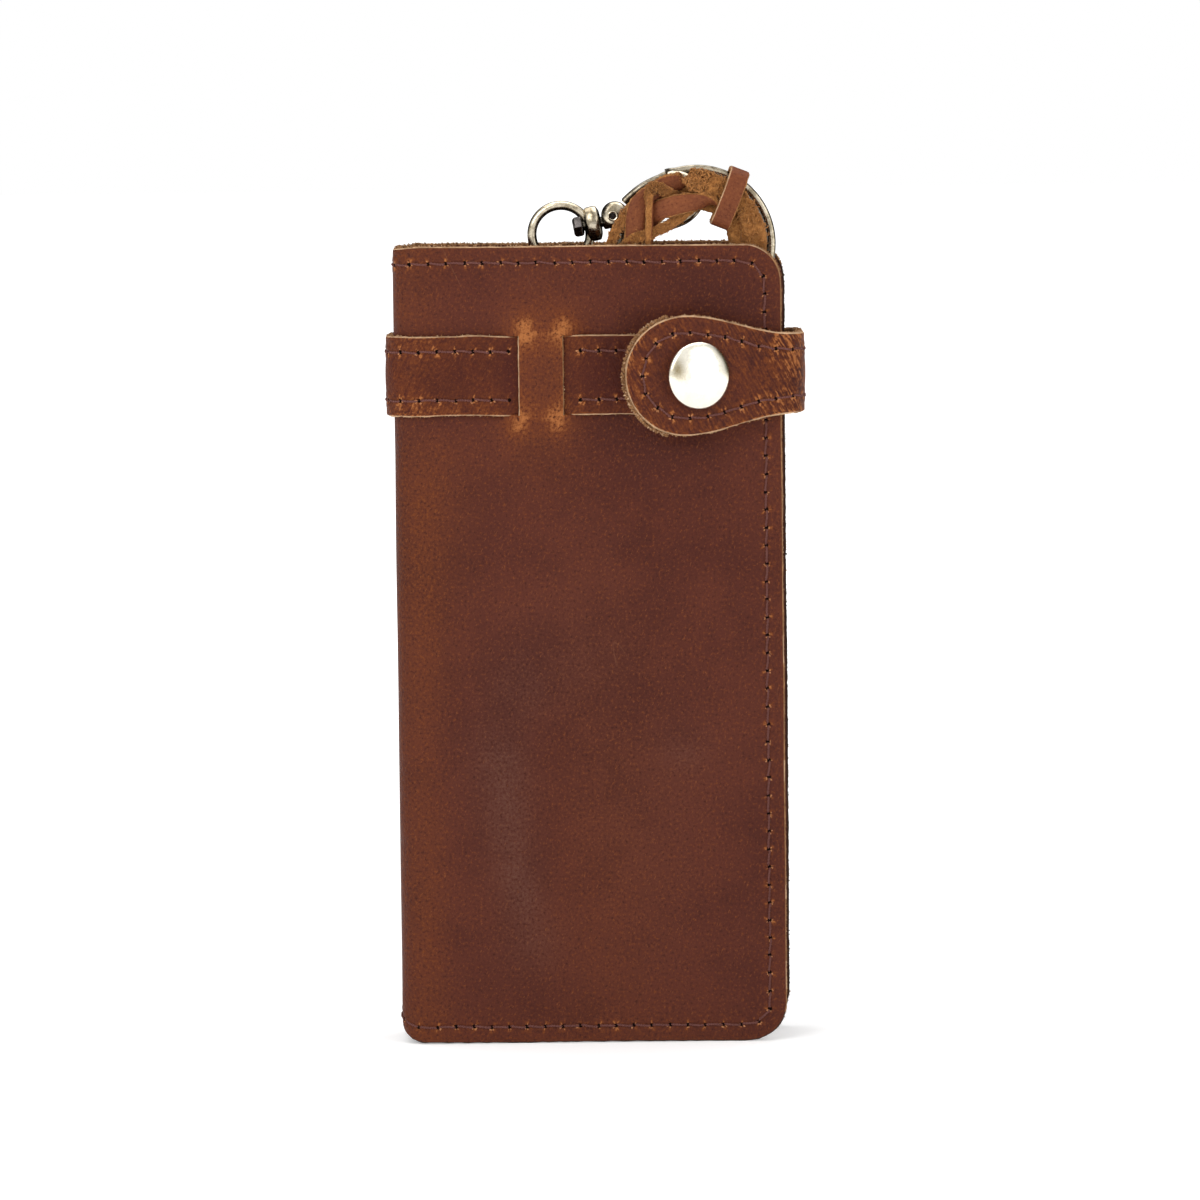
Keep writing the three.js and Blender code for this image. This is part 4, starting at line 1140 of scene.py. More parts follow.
TAB_T, TAB_R, TIP_X = 2.2, 14.4, 8.3
TAB_PATH = [(45.4, 14.5), (48.0, 14.5), (50.2, 13.3), (51.0, 10.5), (51.0, 4.0), (51.0, -3.0), (50.9, -9.0), (49.6, -12.8),
            (46.2, -15.2), (41.0, -16.7), (34.0, -18.6), (25.6, -20.8), (17.0, -22.4), (TIP_X, -23.35)]
path2 = catmull([(2.0, 14.2), (14.0, 14.2), (26.0, 14.2), (36.0, 14.2), (42.0, 14.3)] + TAB_PATH, 14)
fine_path, fine_s = along(path2, 0.1)
fine_tan = unit(np.gradient(fine_path, axis=0))
fine_out = np.stack([-fine_tan[:, 1], fine_tan[:, 0]], 1)
turn_s = fine_s[int(np.argmax(fine_path[:, 0]))]
disc_s = fine_s[np.argmax((fine_s > turn_s) & (fine_path[:, 0] <= TIP_X + TAB_R))]
snap_s = fine_s[np.argmax((fine_s > turn_s) & (fine_path[:, 0] <= 25.6))]
tip_s = fine_s[-1]


def on_tab(s):
    s = np.asarray(s, float)
    p = np.stack([np.interp(s, fine_s, fine_path[:, k]) for k in (0, 1)], -1)
    n = unit(np.stack([np.interp(s, fine_s, fine_out[:, k]) for k in (0, 1)], -1))
    return p, n


def tab_half(s):
    p, _ = on_tab(s)
    k = np.clip((p[..., 0] - (TIP_X + TAB_R)) / (49 - (TIP_X + TAB_R)), 0, 1)
    wide = TAB_R + (STRAP_HALF - TAB_R) * 0.5 * (1 - np.cos(math.pi * k))
    return np.where(np.asarray(s) > turn_s, wide, STRAP_HALF)


def tab_thick(s):
    return STRAP_T + (TAB_T - STRAP_T) * smooth(turn_s - 8, turn_s + 4, s)


reach = tip_s - disc_s
tip_lines = np.array([12.3, 10.2, 8.2, 6.4, 5.1, 4.1, 3.1, 2.0, 0.9, 0.0]) / TAB_R * reach
cols = np.concatenate([spread((0, 40, 1.9), (40, disc_s, 1.15)), tip_s - tip_lines])
LINES = [0.0, 0.85, 1.9, 3.0, 4.0, 5.0]
tab_cols = []
for s in cols:
    h = float(tab_half(min(s, disc_s)))
    edge_rows = [h - d for d in LINES]
    inner_rows = [(h - 5.0) * f for f in (0.75, 0.5, 0.25)]
    tab_cols.append([-v for v in edge_rows + inner_rows] + [0.0] + (edge_rows + inner_rows)[::-1])
offs = np.array(tab_cols)
nc, nr = offs.shape
ii, jj = [a.ravel() for a in np.meshgrid(np.arange(nc), np.arange(nr), indexing="ij")]
faces = [((i + 1) * nr + j, i * nr + j, i * nr + j + 1, (i + 1) * nr + j + 1) for i in range(nc - 1) for j in range(nr - 1)]
s, off = cols[ii], offs[ii, jj]
beyond = s > disc_s + 1e-6
a = np.clip((s - disc_s) / reach, 0, 1)
c = off / TAB_R
m = np.maximum(a, np.abs(c))
ang = np.where(np.abs(c) <= a, math.pi / 4 * c / np.maximum(a, 1e-9), np.sign(c) * (math.pi / 2 - math.pi / 4 * a / np.maximum(np.abs(c), 1e-9)))
s2 = np.where(beyond, disc_s + m * np.cos(ang) * reach, s)
off2 = np.where(beyond, m * np.sin(ang) * TAB_R, off)
p, n = on_tab(s2)
half_here = tab_half(np.minimum(s, disc_s))
d_edge = np.where(beyond, (1 - m) * TAB_R, half_here - np.abs(off))
px = p[:, 0]
to_snap = np.hypot(s2 - snap_s, off2)
push = 0.25 * smooth(4, 9, d_edge) * smooth(8.0, 13.0, to_snap) - 0.10 * np.exp(-((d_edge - 4.05) / 0.7) ** 2)
push -= 0.22 * np.exp(-((to_snap - 8.4) / 1.6) ** 2)
edge_wave = 0.25 * hash_noise(s2, np.sign(off2) * 3.0, 0.07, 21.0) * np.clip(1 - d_edge / 4, 0, 1)
pull = 0.10 + 0.32 * np.exp(-d_edge / 2.4) + 0.26 * np.exp(-((px - 51) / 9) ** 2) * (s2 > turn_s - 25) + 0.16 * smooth(17.0, 11.0, px) * (s2 > turn_s) + 0.20 * smooth(28, 44, px) * (s2 > turn_s)
pull += 0.16 * hash_noise(s2, off2, 0.11, 31.0)
co = np.stack([p[:, 0] + n[:, 0] * push, p[:, 1] + n[:, 1] * push, STRAP_Z + off2 + edge_wave + 0.28 * hash_noise(s2 * 0, s2 * 0 + 3.0, 0.05, 2.0)], 1)
flat = np.stack([s2, np.full(len(s2), 330.0), off2], 1)
b = Build()
edge = cut_sheet(b, co, faces, tab_thick(s2), (0, 1, 2, 6), flat, np.clip(pull, 0, 1), None, r=0.42, plain=ii == 0, ragged=0.18, seed=41)
fibres(b, edge, 6, 420, 42, 0.8)
crumbs(b, edge, (6, 6, 2), 760, 43, 0.24)
left_edge = [e for e in edge if e[1][0] < -0.25]
crumbs(b, left_edge, (6, 6, 2, 6), 1200, 44, 0.28, (-0.05, 0.70))
fibres(b, left_edge, 6, 260, 45, 1.1)
inset = 4.05
outline = [(w, float(tab_half(w)) - inset) for w in np.arange(2.0, disc_s, 0.5)]
outline += [(disc_s + (TAB_R - inset) * math.cos(t) / TAB_R * reach, (TAB_R - inset) * math.sin(t)) for t in np.linspace(math.pi / 2, -math.pi / 2, 40)]
outline += [(w, -(float(tab_half(w)) - inset)) for w in np.arange(disc_s - 0.5, 2.0, -0.5)]
outline, _ = along(np.array(outline), PITCH)
hp, hn = on_tab(outline[:, 0])
top = tab_thick(outline[:, 0]) / 2 - 0.10
holes = np.stack([hp[:, 0] + hn[:, 0] * top, hp[:, 1] + hn[:, 1] * top, STRAP_Z + outline[:, 1]], 1)
sew(b, holes, np.stack([hn[:, 0], hn[:, 1], np.zeros(len(hn))], 1), 47)
tab = b.make("snap_tab_leather", hide_mats(M_TAB))
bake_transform(tab)
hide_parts("strap_tab")

# Snap: domed cap, the socket behind it and the stud on the strap.
sp, sn = on_tab(snap_s)
snap_at = np.array([sp[0], sp[1], STRAP_Z])
snap_n = np.array([sn[0], sn[1], 0.0])
cap_turn = math.atan2(sn[0], -sn[1]) + 0.14         # the cap sits a little askew
cap_n = np.array([math.sin(cap_turn), -math.cos(cap_turn), 0.0])
cap_right = np.array([math.cos(cap_turn), math.sin(cap_turn), 0.0])
cap_at = snap_at + cap_n * (TAB_T / 2 + 0.30)
dome_r = np.linspace(7.92, 0, 22)
dome_h = np.interp(-dome_r, [-7.92, -7.45, -6.7, -5.7, -4.5, -3.1, -1.6, 0.0], [1.20, 1.52, 1.84, 2.14, 2.38, 2.55, 2.66, 2.70])
b = Build()
co, faces = turned([(-1.7, 0), (-1.7, 6.9), (-0.35, 7.3), (-0.05, 7.85), (0.30, 8.15), (0.62, 8.2), (0.92, 8.12)] + list(zip(dome_h, dome_r)), cap_at, cap_n, 80)
d = co - cap_at
dx, dz = d @ cap_right, d[:, 2]
co = co - cap_right * (0.035 * dx)[:, None]
rim, way = np.hypot(dx, dz), np.degrees(np.arctan2(dz, dx))
# painted reflection: a darker olive zone on the dome's left and a band along its upper-right rim
painted_reflection = 0.95 * np.exp(-((dx + 6.3) / 1.55) ** 2 - ((dz - 1.7) / 2.5) ** 2) * smooth(-1.9, -0.6, dz) + 0.28 * np.exp(-((dx + 4.2) / 1.9) ** 2 - ((dz + 0.8) / 1.5) ** 2)
painted_reflection += 0.9 * np.exp(-((rim - 7.7) / 0.85) ** 2) * smooth(-14, 6, way) * smooth(62, 46, way)
b.add(co, faces, 0, None, None, np.clip(painted_reflection, 0, 1))
cap = b.make("snap_cap_dome", [M_NICKEL], 60)
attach(cap, "strap_tab")
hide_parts("snap_cap")
b = Build()
h0 = -TAB_T / 2
co, faces = turned([(h0 + 0.25, 5.9), (h0 - 0.15, 6.1), (h0 - 0.45, 5.7), (h0 - 0.6, 5.1), (h0 - 1.45, 4.75), (h0 - 1.7, 4.4), (h0 - 1.7, 3.75),
                    (h0 - 1.45, 3.5), (h0 - 0.4, 3.45), (h0 + 0.25, 3.45)][::-1], snap_at, snap_n, 56, ring=True)
b.add(co, faces, 0)
co, faces = turned([(h0 - 0.42, 0), (h0 - 0.36, 3.5), (h0 + 0.2, 3.6), (h0 + 0.3, 0)], snap_at, snap_n, 32)
b.add(co, faces, 0)
socket = b.make("snap_socket_ring", [M_NICKEL], 50)
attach(socket, "strap_tab")
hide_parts("snap_socket")
b = Build()
co, faces = turned([(-0.6, 0), (-0.6, 5.2), (0.0, 5.9), (0.30, 5.7), (0.55, 4.6), (0.75, 2.9), (1.5, 2.55), (2.1, 2.65), (2.6, 2.9), (3.0, 2.75),
                    (3.25, 2.1), (3.3, 0)], (25.6, -15.05, STRAP_Z), (0, -1, 0), 56)
b.add(co, faces, 0)
stud = b.make("snap_stud_post", [M_NICKEL], 50)
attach(stud, "front_cover")
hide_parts("snap_stud")


# ---------------------------------------------------------------- lanyard

BRAID = [(25.0, 3.9, 160.0), (26.2, 3.6, 168.0), (30.5, 1.4, 177.0), (35.8, -3.4, 186.0), (39.0, -7.6, 193.5), (39.7, -8.2, 198.8),
         (38.3, -8.3, 203.2), (34.8, -8.3, 206.0), (29.0, -8.3, 207.3), (22.6, -8.3, 206.7), (16.6, -8.3, 204.2), (12.2, -8.3, 199.8),
         (9.4, -7.9, 193.5), (7.0, -4.4, 184.0), (4.6, -1.6, 174.0), (3.0, -0.8, 163.0), (1.0, -0.6, 150.0), (-3.6, -0.6, 140.0),
         (-12.0, -0.6, 133.8), (-20.6, -0.6, 136.0), (-27.0, -0.6, 143.0), (-29.8, -0.6, 152.0), (-28.4, -0.5, 162.0),
         (-22.8, -0.2, 171.0), (-15.0, 0.1, 179.0), (-9.6, 0.3, 188.0)]
line, line_s = along(catmull(BRAID, 16), 0.6)
line_t = unit(np.gradient(line, axis=0))
line_n = unit(np.array([0, -1.0, 0]) - line_t * (line_t @ np.array([0, -1.0, 0]))[:, None])
line_b = np.cross(line_t, line_n)

# Half section of a lace: across, through, and how much the point is on the flesh side or the cut edge.
LACE = [(-1.0, 0.30, 1.0)] + [(a, 1.0 - 0.30 * a ** 6, 0.0) for a in np.linspace(-0.88, 0.88, 9)] + [(1.0, 0.30, 1.0), (1.0, -0.40, 1.0)]
LACE += [(a, -1.0 + 0.30 * a ** 6, 1.0) for a in np.linspace(0.88, -0.88, 9)] + [(-1.0, -0.40, 1.0)]


def lace(b, mid, front, turn, wide, thick, seed, rough=0.22, tufts=0, length=1.0):
    """A lace along mid: front is the way it would face, turn how far it is twisted from there in radians. Its front is
    smooth leather, its back and edges are matted fibres."""
    rng = random.Random(seed)
    t = unit(np.gradient(mid, axis=0))
    n0 = unit(front - t * np.sum(front * t, 1)[:, None])
    w0 = np.cross(t, n0)
    n = n0 * np.cos(turn)[:, None] + w0 * np.sin(turn)[:, None]
    w = np.cross(t, n)
    count, sec = len(mid), len(LACE)
    dist = np.concatenate([[0], np.cumsum(np.linalg.norm(np.diff(mid, axis=0), axis=1))])
    co = np.zeros((count, sec, 3))
    for j, (a, c, flesh) in enumerate(LACE):
        lump = np.array([noise.noise(Vector((d * 0.55 + seed, a * wd * 0.55, flesh * 3.0))) + 0.8 * noise.noise(Vector((d * 1.3, a * wd * 1.3 + seed, 5.0 + flesh)))
                         for d, wd in zip(dist, wide)])
        grit = np.array([rng.uniform(-1, 1) for _ in range(count)])
        out = (rough * lump + 0.45 * rough * grit) if flesh else 0.03 * lump
        edge = abs(a) > 0.95
        cup = -0.16 * wide * (a * a - 0.35)
        co[:, j] = mid + w * (wide * a + (np.sign(a) * out if edge else 0))[:, None] + n * (thick * c + cup + (0 if edge else np.sign(c) * out))[:, None]
    flat = np.zeros_like(co)
    flat[:, :, 0] = np.array([a for a, _, _ in LACE])[None] * 2.6 + 23.0 * seed
    flat[:, :, 1] = np.array([c for _, c, _ in LACE])[None] * 0.8
    flat[:, :, 2] = dist[:, None]
    faces, mats = [], []
    for i in range(count - 1):
        for j in range(sec):
            q = (j + 1) % sec
            faces.append((i * sec + j, i * sec + q, (i + 1) * sec + q, (i + 1) * sec + j))
            mats.append(0 if 1 <= j <= 8 else 1)
    faces.append(tuple(range(sec))[::-1])
    faces.append(tuple((count - 1) * sec + j for j in range(sec)))
    mats += [1, 1]
    # the section runs round the other way when seen along the lace
    b.add(co.reshape(-1, 3), [f[::-1] for f in faces], mats, flat.reshape(-1, 3), 0.25)
    hair = []
    for i in range(0, count, 2):
        for side in (-1, 1):
            hair.append((mid[i] + w[i] * side * wide[i] * 0.97, w[i] * side, n[i]))
    fibres(b, hair, 1, int(dist[-1] * 2.2), seed + 1, 0.8 * length)
    for _ in range(tufts):
        i = rng.randrange(count)
        a = rng.uniform(-0.95, 0.95)
        root = mid[i] + w[i] * wide[i] * a - n[i] * (thick[i] * 0.95 + 0.16 * wide[i] * (a * a - 0.35))
        fibres(b, [(root, -n[i], w[i])], 1, 1, rng.randrange(10 ** 6), 1.15 * length)
    return [(mid[i] + w[i] * wide[i] * a - n[i] * (thick[i] + 0.16 * wide[i] * (a * a - 0.35)), -n[i]) for i in range(count) for a in np.linspace(-0.95, 0.95, 7)]


def curls(b, spots, mat, count, seed, size=1.0):
    """Short curly fibres lying on rough leather. spots are points with the way out of the leather."""
    rng = random.Random(seed)
    if not spots:
        return
    for _ in range(count):
        p, n = spots[rng.randrange(len(spots))]
        t = unit(np.cross(n, [rng.uniform(-1, 1) for _ in range(3)]))
        s = np.cross(n, t)
        p = p + t * rng.uniform(-0.4, 0.4) + s * rng.uniform(-0.4, 0.4)
        long_ = size * rng.uniform(0.6, 1.5)
        high = long_ * rng.uniform(0.12, 0.40)
        bend = long_ * rng.uniform(-0.7, 0.7)
        w = rng.uniform(0.10, 0.19) * size
        path = [p - t * long_ / 2 - n * 0.15, p - t * long_ * 0.25 + n * high * 0.8 + s * bend * 0.2, p + n * high + s * bend * 0.5,
                p + t * long_ * 0.25 + n * high * 0.75 + s * bend * 0.3, p + t * long_ * 0.5 - n * 0.08 + s * bend * 0.1]
        co, faces = tube(path, [w * 0.8, w, w, w * 0.9, w * 0.4], 5)
        b.add(co, faces, mat, co + rng.uniform(0, 400))


b = Build()
# Inside the wallet the five laces lie in an even braid.
for k in range(5):
    for part in (line_s < line_s[np.argmax(line[:, 2] > 190.5)], line_s > line_s[np.max(np.nonzero(line[:, 2] > 190.5))]):
        d = line_s[part]
        th = 2 * math.pi * (d / 30.0 + k / 5) + 0.35 * np.sin(d * 0.11 + k * 2.0)
        side_off = 2.85 * np.sin(th) * (1 + 0.10 * np.sin(d * 0.23 + k))
        deep = 1.15 * np.sin(2 * th) + 0.25 * np.sin(d * 0.31 + 2 * k)
        mid = line[part] + line_b[part] * side_off[:, None] + line_n[part] * deep[:, None]
        turn = 0.30 * np.cos(2 * th) + 0.20 * np.sin(d * 0.19 + k)
        lace(b, mid, line_n[part], turn, 1.85 + 0.15 * np.sin(d * 0.37 + k), np.full(len(d), 0.72), 100 + 7 * k, 0.12)

# In the arch they are loose: x, y, z, twist in degrees, half width.
ARCH = [
    (301, 0.75, 0.26, 150, [(10.0, -6.4, 186.0, 0, 2.4), (10.6, -8.8, 192.0, 0, 2.5), (11.1, -10.0, 197.5, 4, 2.55), (11.3, -10.4, 201.6, 0, 2.55), (12.3, -10.1, 204.8, -6, 2.5),
            (14.8, -9.2, 207.0, 0, 2.4), (18.8, -8.5, 209.3, 6, 2.4), (22.3, -8.4, 210.2, 30, 2.4), (25.4, -9.3, 210.2, 150, 2.5), (28.6, -9.8, 209.9, 182, 2.7), (31.6, -9.6, 208.9, 185, 2.7),
            (34.6, -9.2, 207.3, 180, 2.6), (37.2, -9.4, 204.7, 178, 2.5), (39.3, -9.6, 201.2, 182, 2.5), (40.6, -9.2, 197.0, 180, 2.5), (40.6, -7.9, 191.5, 180, 2.4), (39.6, -5.6, 185.0, 180, 2.3)]),
    (317, 0.75, 0.20, 60, [(12.2, -5.2, 186.5, 0, 2.2), (13.0, -6.6, 194.0, 0, 2.3), (14.2, -7.6, 199.8, -8, 2.3), (16.6, -9.9, 203.0, -4, 2.5), (20.4, -10.7, 204.4, 0, 2.55), (24.6, -10.6, 205.2, 8, 2.4),
            (28.4, -10.0, 205.5, 40, 2.1), (31.6, -8.8, 204.9, 120, 2.2), (34.4, -8.2, 202.4, 175, 2.3), (36.2, -8.0, 198.4, 185, 2.2), (36.9, -7.4, 192.0, 180, 2.2), (36.4, -5.0, 185.5, 180, 2.2)]),
    (331, 0.80, 0.26, 160, [(7.6, -5.2, 186.0, 175, 1.5), (8.0, -8.2, 192.5, 180, 1.5), (10.2, -10.0, 196.2, 190, 1.45), (14.0, -10.4, 197.4, 175, 1.35), (17.4, -10.2, 198.8, 190, 1.25),
            (20.8, -9.4, 200.6, 180, 1.25), (24.0, -8.2, 203.2, 180, 1.5), (28.0, -7.2, 206.4, 180, 1.8), (32.4, -7.2, 208.0, 180, 2.0), (36.4, -8.2, 205.8, 180, 1.9), (38.4, -9.0, 201.4, 180, 1.9),
            (38.8, -8.6, 196.0, 185, 1.9), (38.2, -6.4, 188.0, 180, 1.9)]),
    (347, 0.85, 0.26, 120, [(14.0, -6.6, 187.0, 95, 1.5), (14.3, -9.2, 193.5, 92, 1.6), (14.6, -10.6, 199.4, 88, 1.7), (14.7, -11.2, 204.4, 92, 1.7), (14.9, -11.3, 207.4, 110, 1.5), (16.3, -10.9, 208.9, 165, 1.35),
            (18.3, -9.9, 208.3, 190, 1.3), (21.4, -7.9, 206.4, 180, 1.5), (27.0, -7.0, 205.2, 180, 1.8), (32.0, -7.0, 203.2, 180, 1.8), (35.0, -7.0, 199.0, 180, 1.8), (35.8, -6.8, 193.0, 180, 1.8), (35.4, -5.0, 186.5, 180, 1.8)]),
    (363, 0.80, 0.24, 130, [(4.2, -5.6, 187.0, 180, 1.3), (4.8, -8.6, 193.2, 180, 1.4), (6.0, -9.7, 197.4, 176, 1.25), (7.5, -9.8, 200.2, 184, 1.1), (8.9, -9.2, 202.8, 180, 1.0), (11.0, -8.0, 204.4, 180, 1.2),
            (14.5, -7.2, 206.0, 180, 1.5), (19.0, -6.9, 207.4, 180, 1.7), (24.6, -6.9, 208.4, 180, 1.8), (30.0, -7.0, 208.2, 180, 1.9), (35.0, -7.3, 206.4, 180, 1.9), (39.0, -7.8, 203.0, 180, 1.8), (41.2, -8.2, 198.8, 180, 1.6),
            (41.4, -7.8, 193.0, 180, 1.6), (40.6, -5.8, 186.5, 180, 1.6)]),
]
SHAG = {301: (620, 1.15), 317: (200, 1.0), 331: (300, 0.7), 347: (160, 0.7), 363: (240, 0.8)}     # curly fibres: how many, how big
for seed, thick, rough, tufts, rows in ARCH:
    rows = np.array(rows)
    raw = catmull(rows[:, :3], 12)
    at = np.linspace(0, len(rows) - 1, len(raw))
    extra = np.stack([np.interp(at, np.arange(len(rows)), rows[:, k]) for k in (3, 4)], 1)
    even, _ = along(np.hstack([raw, extra]), 0.45)
    mid = even[:, :3]
    front_way = np.broadcast_to([0.0, -1.0, 0.0], mid.shape)
    flesh = lace(b, mid, front_way, np.radians(even[:, 3]), even[:, 4], np.full(len(mid), thick), seed, rough, tufts * 2, 1.0)
    curls(b, [q for q in flesh if q[1][1] < -0.15 and q[0][2] > 192.5], 1, SHAG[seed][0], seed + 3, SHAG[seed][1])
braid = b.make("lanyard_braid_laces", [M_LACE, M_SUEDE], 55)
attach(braid, "wallet_back")
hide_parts("lanyard_braid")

# Keeper: a lace band round the braid and the ring.
KEEP_C, KEEP_TILT = np.array([34.4, 0.0, 205.9]), 0.37
ky0, ky1, kh, kr = -12.0, 10.4, 6.9, 2.6
pts = []
for cy, cz, start in ((ky1 - kr, kr - kh, -math.pi / 2), (ky1 - kr, kh - kr, 0.0), (ky0 + kr, kh - kr, math.pi / 2), (ky0 + kr, kr - kh, math.pi)):
    pts += [(cy + kr * math.cos(a), cz + kr * math.sin(a)) for a in np.linspace(start, start + math.pi / 2, 7)]
loop, _ = along(np.array(pts + pts[:1]), 1.3)
pts = loop[:-1].tolist()
loop = np.array(pts)
ln = unit(np.roll(loop, -1, 0) - np.roll(loop, 1, 0))
count = len(loop)
across = np.array([-2.35, -1.8, -0.9, 0.0, 0.9, 1.8, 2.35])
co = np.zeros((count, len(across), 3))
co[:, :, 0] = across[None]
co[:, :, 1] = loop[:, 0][:, None]
co[:, :, 2] = loop[:, 1][:, None]
co[:, :, 0] += 0.10 * np.sin(np.arange(count) * 0.45)[:, None]
ct, st = math.cos(KEEP_TILT), math.sin(KEEP_TILT)
turned_co = np.stack([co[:, :, 0] * ct + co[:, :, 2] * st, co[:, :, 1], -co[:, :, 0] * st + co[:, :, 2] * ct], 2) + KEEP_C
faces = []
for i in range(count):
    j = (i + 1) % count
    for k in range(len(across) - 1):
        faces.append((i * 7 + k, i * 7 + k + 1, j * 7 + k + 1, j * 7 + k))
flat = np.stack([np.broadcast_to(across[None], (count, 7)), np.full((count, 7), 500.0),
                 np.broadcast_to((np.arange(count) * 1.6)[:, None], (count, 7))], 2)
test_n = vertex_normals(turned_co.reshape(-1, 3), faces)
middle = turned_co.reshape(-1, 3) - KEEP_C
if np.sum(test_n * middle) < 0:
    faces = [f[::-1] for f in faces]
b = Build()
edge = cut_sheet(b, turned_co.reshape(-1, 3), faces, 1.15, (0, 1, 2, 1), flat.reshape(-1, 3), np.full(count * 7, 0.10), None, r=0.34, ragged=0.12, seed=91, dim=lambda q, d: d[0] > 0)
fibres(b, edge, 1, 120, 92, 0.6)
keeper = b.make("ring_keeper_lace", [M_LACE, M_SUEDE, M_EDGE], 45)
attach(keeper, "wallet_back")
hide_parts("ring_keeper")

# Anchor: the leather patch that the hidden end of the braid is sewn to.
b = Build()
co, faces = rounded_box((18.5, 6.6, 153.0), (31.5, 9.0, 171.5), 0.7, 3)
b.add(co, faces, 0, None, 0.2)
for zz in (156.0, 168.5):
    row = [(x, 6.62, zz) for x in np.arange(20.0, 31.0, 2.6)]
    sew(b, row, [(0, -1, 0)] * len(row), int(zz), 0.8)
anchor = b.make("lanyard_anchor_patch", hide_mats(M_INNER), 50)
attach(anchor, "wallet_back")
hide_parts("lanyard_anchor")

# Swivel eye: a round of wire with a barrel foot that the hook turns in. Painted shade and reflection darken the wire's
# inside and outer edge, and the foot's middle band, underside and ends.
EYE_C, EYE_R, EYE_W = np.array([-6.9, 0.3, 197.4]), 7.1, 1.15
HOOK_X, HOOK_Y, HOOK_Z, LEAN = 1.2, 0.3, 200.0, 0.192


def leaned(co):
    """Hook and foot are laid out along X and then lean up round the foot's middle."""
    d = np.asarray(co, float) - [HOOK_X, 0, HOOK_Z]
    c, s = math.cos(LEAN), math.sin(LEAN)
    return np.stack([d[:, 0] * c - d[:, 2] * s, d[:, 1], d[:, 0] * s + d[:, 2] * c], 1) + [HOOK_X, 0, HOOK_Z]


b = Build()
a = np.linspace(0, 2 * math.pi, 97)[:-1]
ring = np.stack([EYE_C[0] + EYE_R * np.cos(a), np.full(96, EYE_C[1]), EYE_C[2] + EYE_R * np.sin(a)], 1)
co, faces = tube(ring, EYE_W, 24, True, up=(0, 1, 0))
inward = np.sin(np.arange(24) * 2 * math.pi / 24)
# painted shade and reflection: the wire darker on its inside and outer edge
painted_shade = np.maximum(smooth(0.42, 0.80, inward), np.maximum(0.50 * smooth(0.0, 0.28, inward), 0.75 * smooth(-0.82, -1.0, inward)))
b.add(co, faces, 0, None, None, np.tile(painted_shade, 96))
prof = [(-2.25, 0), (-2.25, 1.6), (-2.05, 2.9), (-1.75, 3.75), (-1.5, 4.2), (0.0, 4.3), (1.05, 4.2), (1.35, 3.7), (1.7, 2.9), (1.8, 1.6), (1.8, 0)]
co, faces = turned(prof, (HOOK_X, HOOK_Y, HOOK_Z), (1, 0, 0), 40)
co = np.array(co)
co[:, 1] = HOOK_Y + (co[:, 1] - HOOK_Y) * 0.62
low = co[:, 2] - HOOK_Z
# painted shade: the foot greyer in its middle band and dark underneath and at its ends
painted_shade = 0.42 * np.exp(-((low + 0.2) / 1.3) ** 2) + 0.92 * smooth(-1.4, -3.4, low) + 0.9 * smooth(1.45, 1.7, np.abs(co[:, 0] - HOOK_X + 0.2))
b.add(leaned(co), faces, 0, None, None, np.clip(painted_shade, 0, 1))
eye = b.make("swivel_eye_wire", [M_BRASS], 50)
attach(eye, "wallet_back")
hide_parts("swivel_eye")

# Hook: hexagonal head and shank through the foot, a neck, a round flat body and the bow.
BODY, PIN = (5.4, 1.0), (4.9, 0.95)
b = Build()
co, faces = turned([(-5.2, 0), (-5.2, 1.9), (-4.95, 2.45), (-4.5, 2.75), (-3.3, 2.75), (-2.85, 2.5), (-2.65, 1.9), (-2.65, 0)], (HOOK_X, HOOK_Y, HOOK_Z), (1, 0, 0), 6, ref=(0, 0.5, 0.87))
# painted shade: the hexagonal head darker towards the bottom and its far end
b.add(leaned(co), faces, 1, None, None, 0.55 * smooth(0.4, -1.8, co[:, 2] - HOOK_Z) + 0.5 * smooth(-3.3, -2.7, co[:, 0] - HOOK_X))
co, faces = turned([(-2.8, 0), (-2.8, 1.3), (2.15, 1.3), (2.15, 1.6), (2.4, 2.0), (4.2, 2.0), (4.2, 0)], (HOOK_X, HOOK_Y, HOOK_Z), (1, 0, 0), 30)
# painted shade: the neck between foot and body painted dark all over
b.add(leaned(co), faces, 0, None, None, 0.95)
co, faces = turned([(-2.6, 0), (-2.6, 1.9), (-2.48, 2.6), (-2.1, 3.1), (-1.3, 3.35), (1.3, 3.35), (2.1, 3.1), (2.48, 2.6), (2.6, 1.9), (2.6, 0)],
                   (HOOK_X + BODY[0], HOOK_Y, HOOK_Z + BODY[1]), (0, 1, 0), 48)
right, up = co[:, 0] - HOOK_X - BODY[0], co[:, 2] - HOOK_Z - BODY[1]
# painted shade and reflection: the body dark on its upper left, underneath and at its left edge
painted_shade = 0.95 * smooth(1.7, 2.7, -0.80 * right + 0.60 * up) + 0.9 * smooth(-1.2, -2.6, up) + 0.5 * smooth(2.2, 3.2, -right)
b.add(leaned(co), faces, 0, None, None, np.clip(painted_shade, 0, 1))
BOW = [(4.2, -1.2), (7.5, -3.0), (12, -4.0), (17.4, -4.1), (22.6, -3.2), (25.8, -0.6), (26.2, 3.2), (24.0, 6.6), (20.0, 8.0)]
bow = leaned(catmull([(HOOK_X + x, HOOK_Y, HOOK_Z + z) for x, z in BOW], 8))
rad = np.interp(np.linspace(0, 1, len(bow)), [0, 0.12, 0.5, 0.85, 0.97, 1.0], [1.55, 1.35, 1.25, 1.25, 1.2, 0.8])
co, faces = tube(bow, rad, 16, up=(0, 1, 0))
under = np.concatenate([(co[:-2] - np.repeat(bow, 16, 0))[:, 2] / np.repeat(rad, 16), [0, 0]])
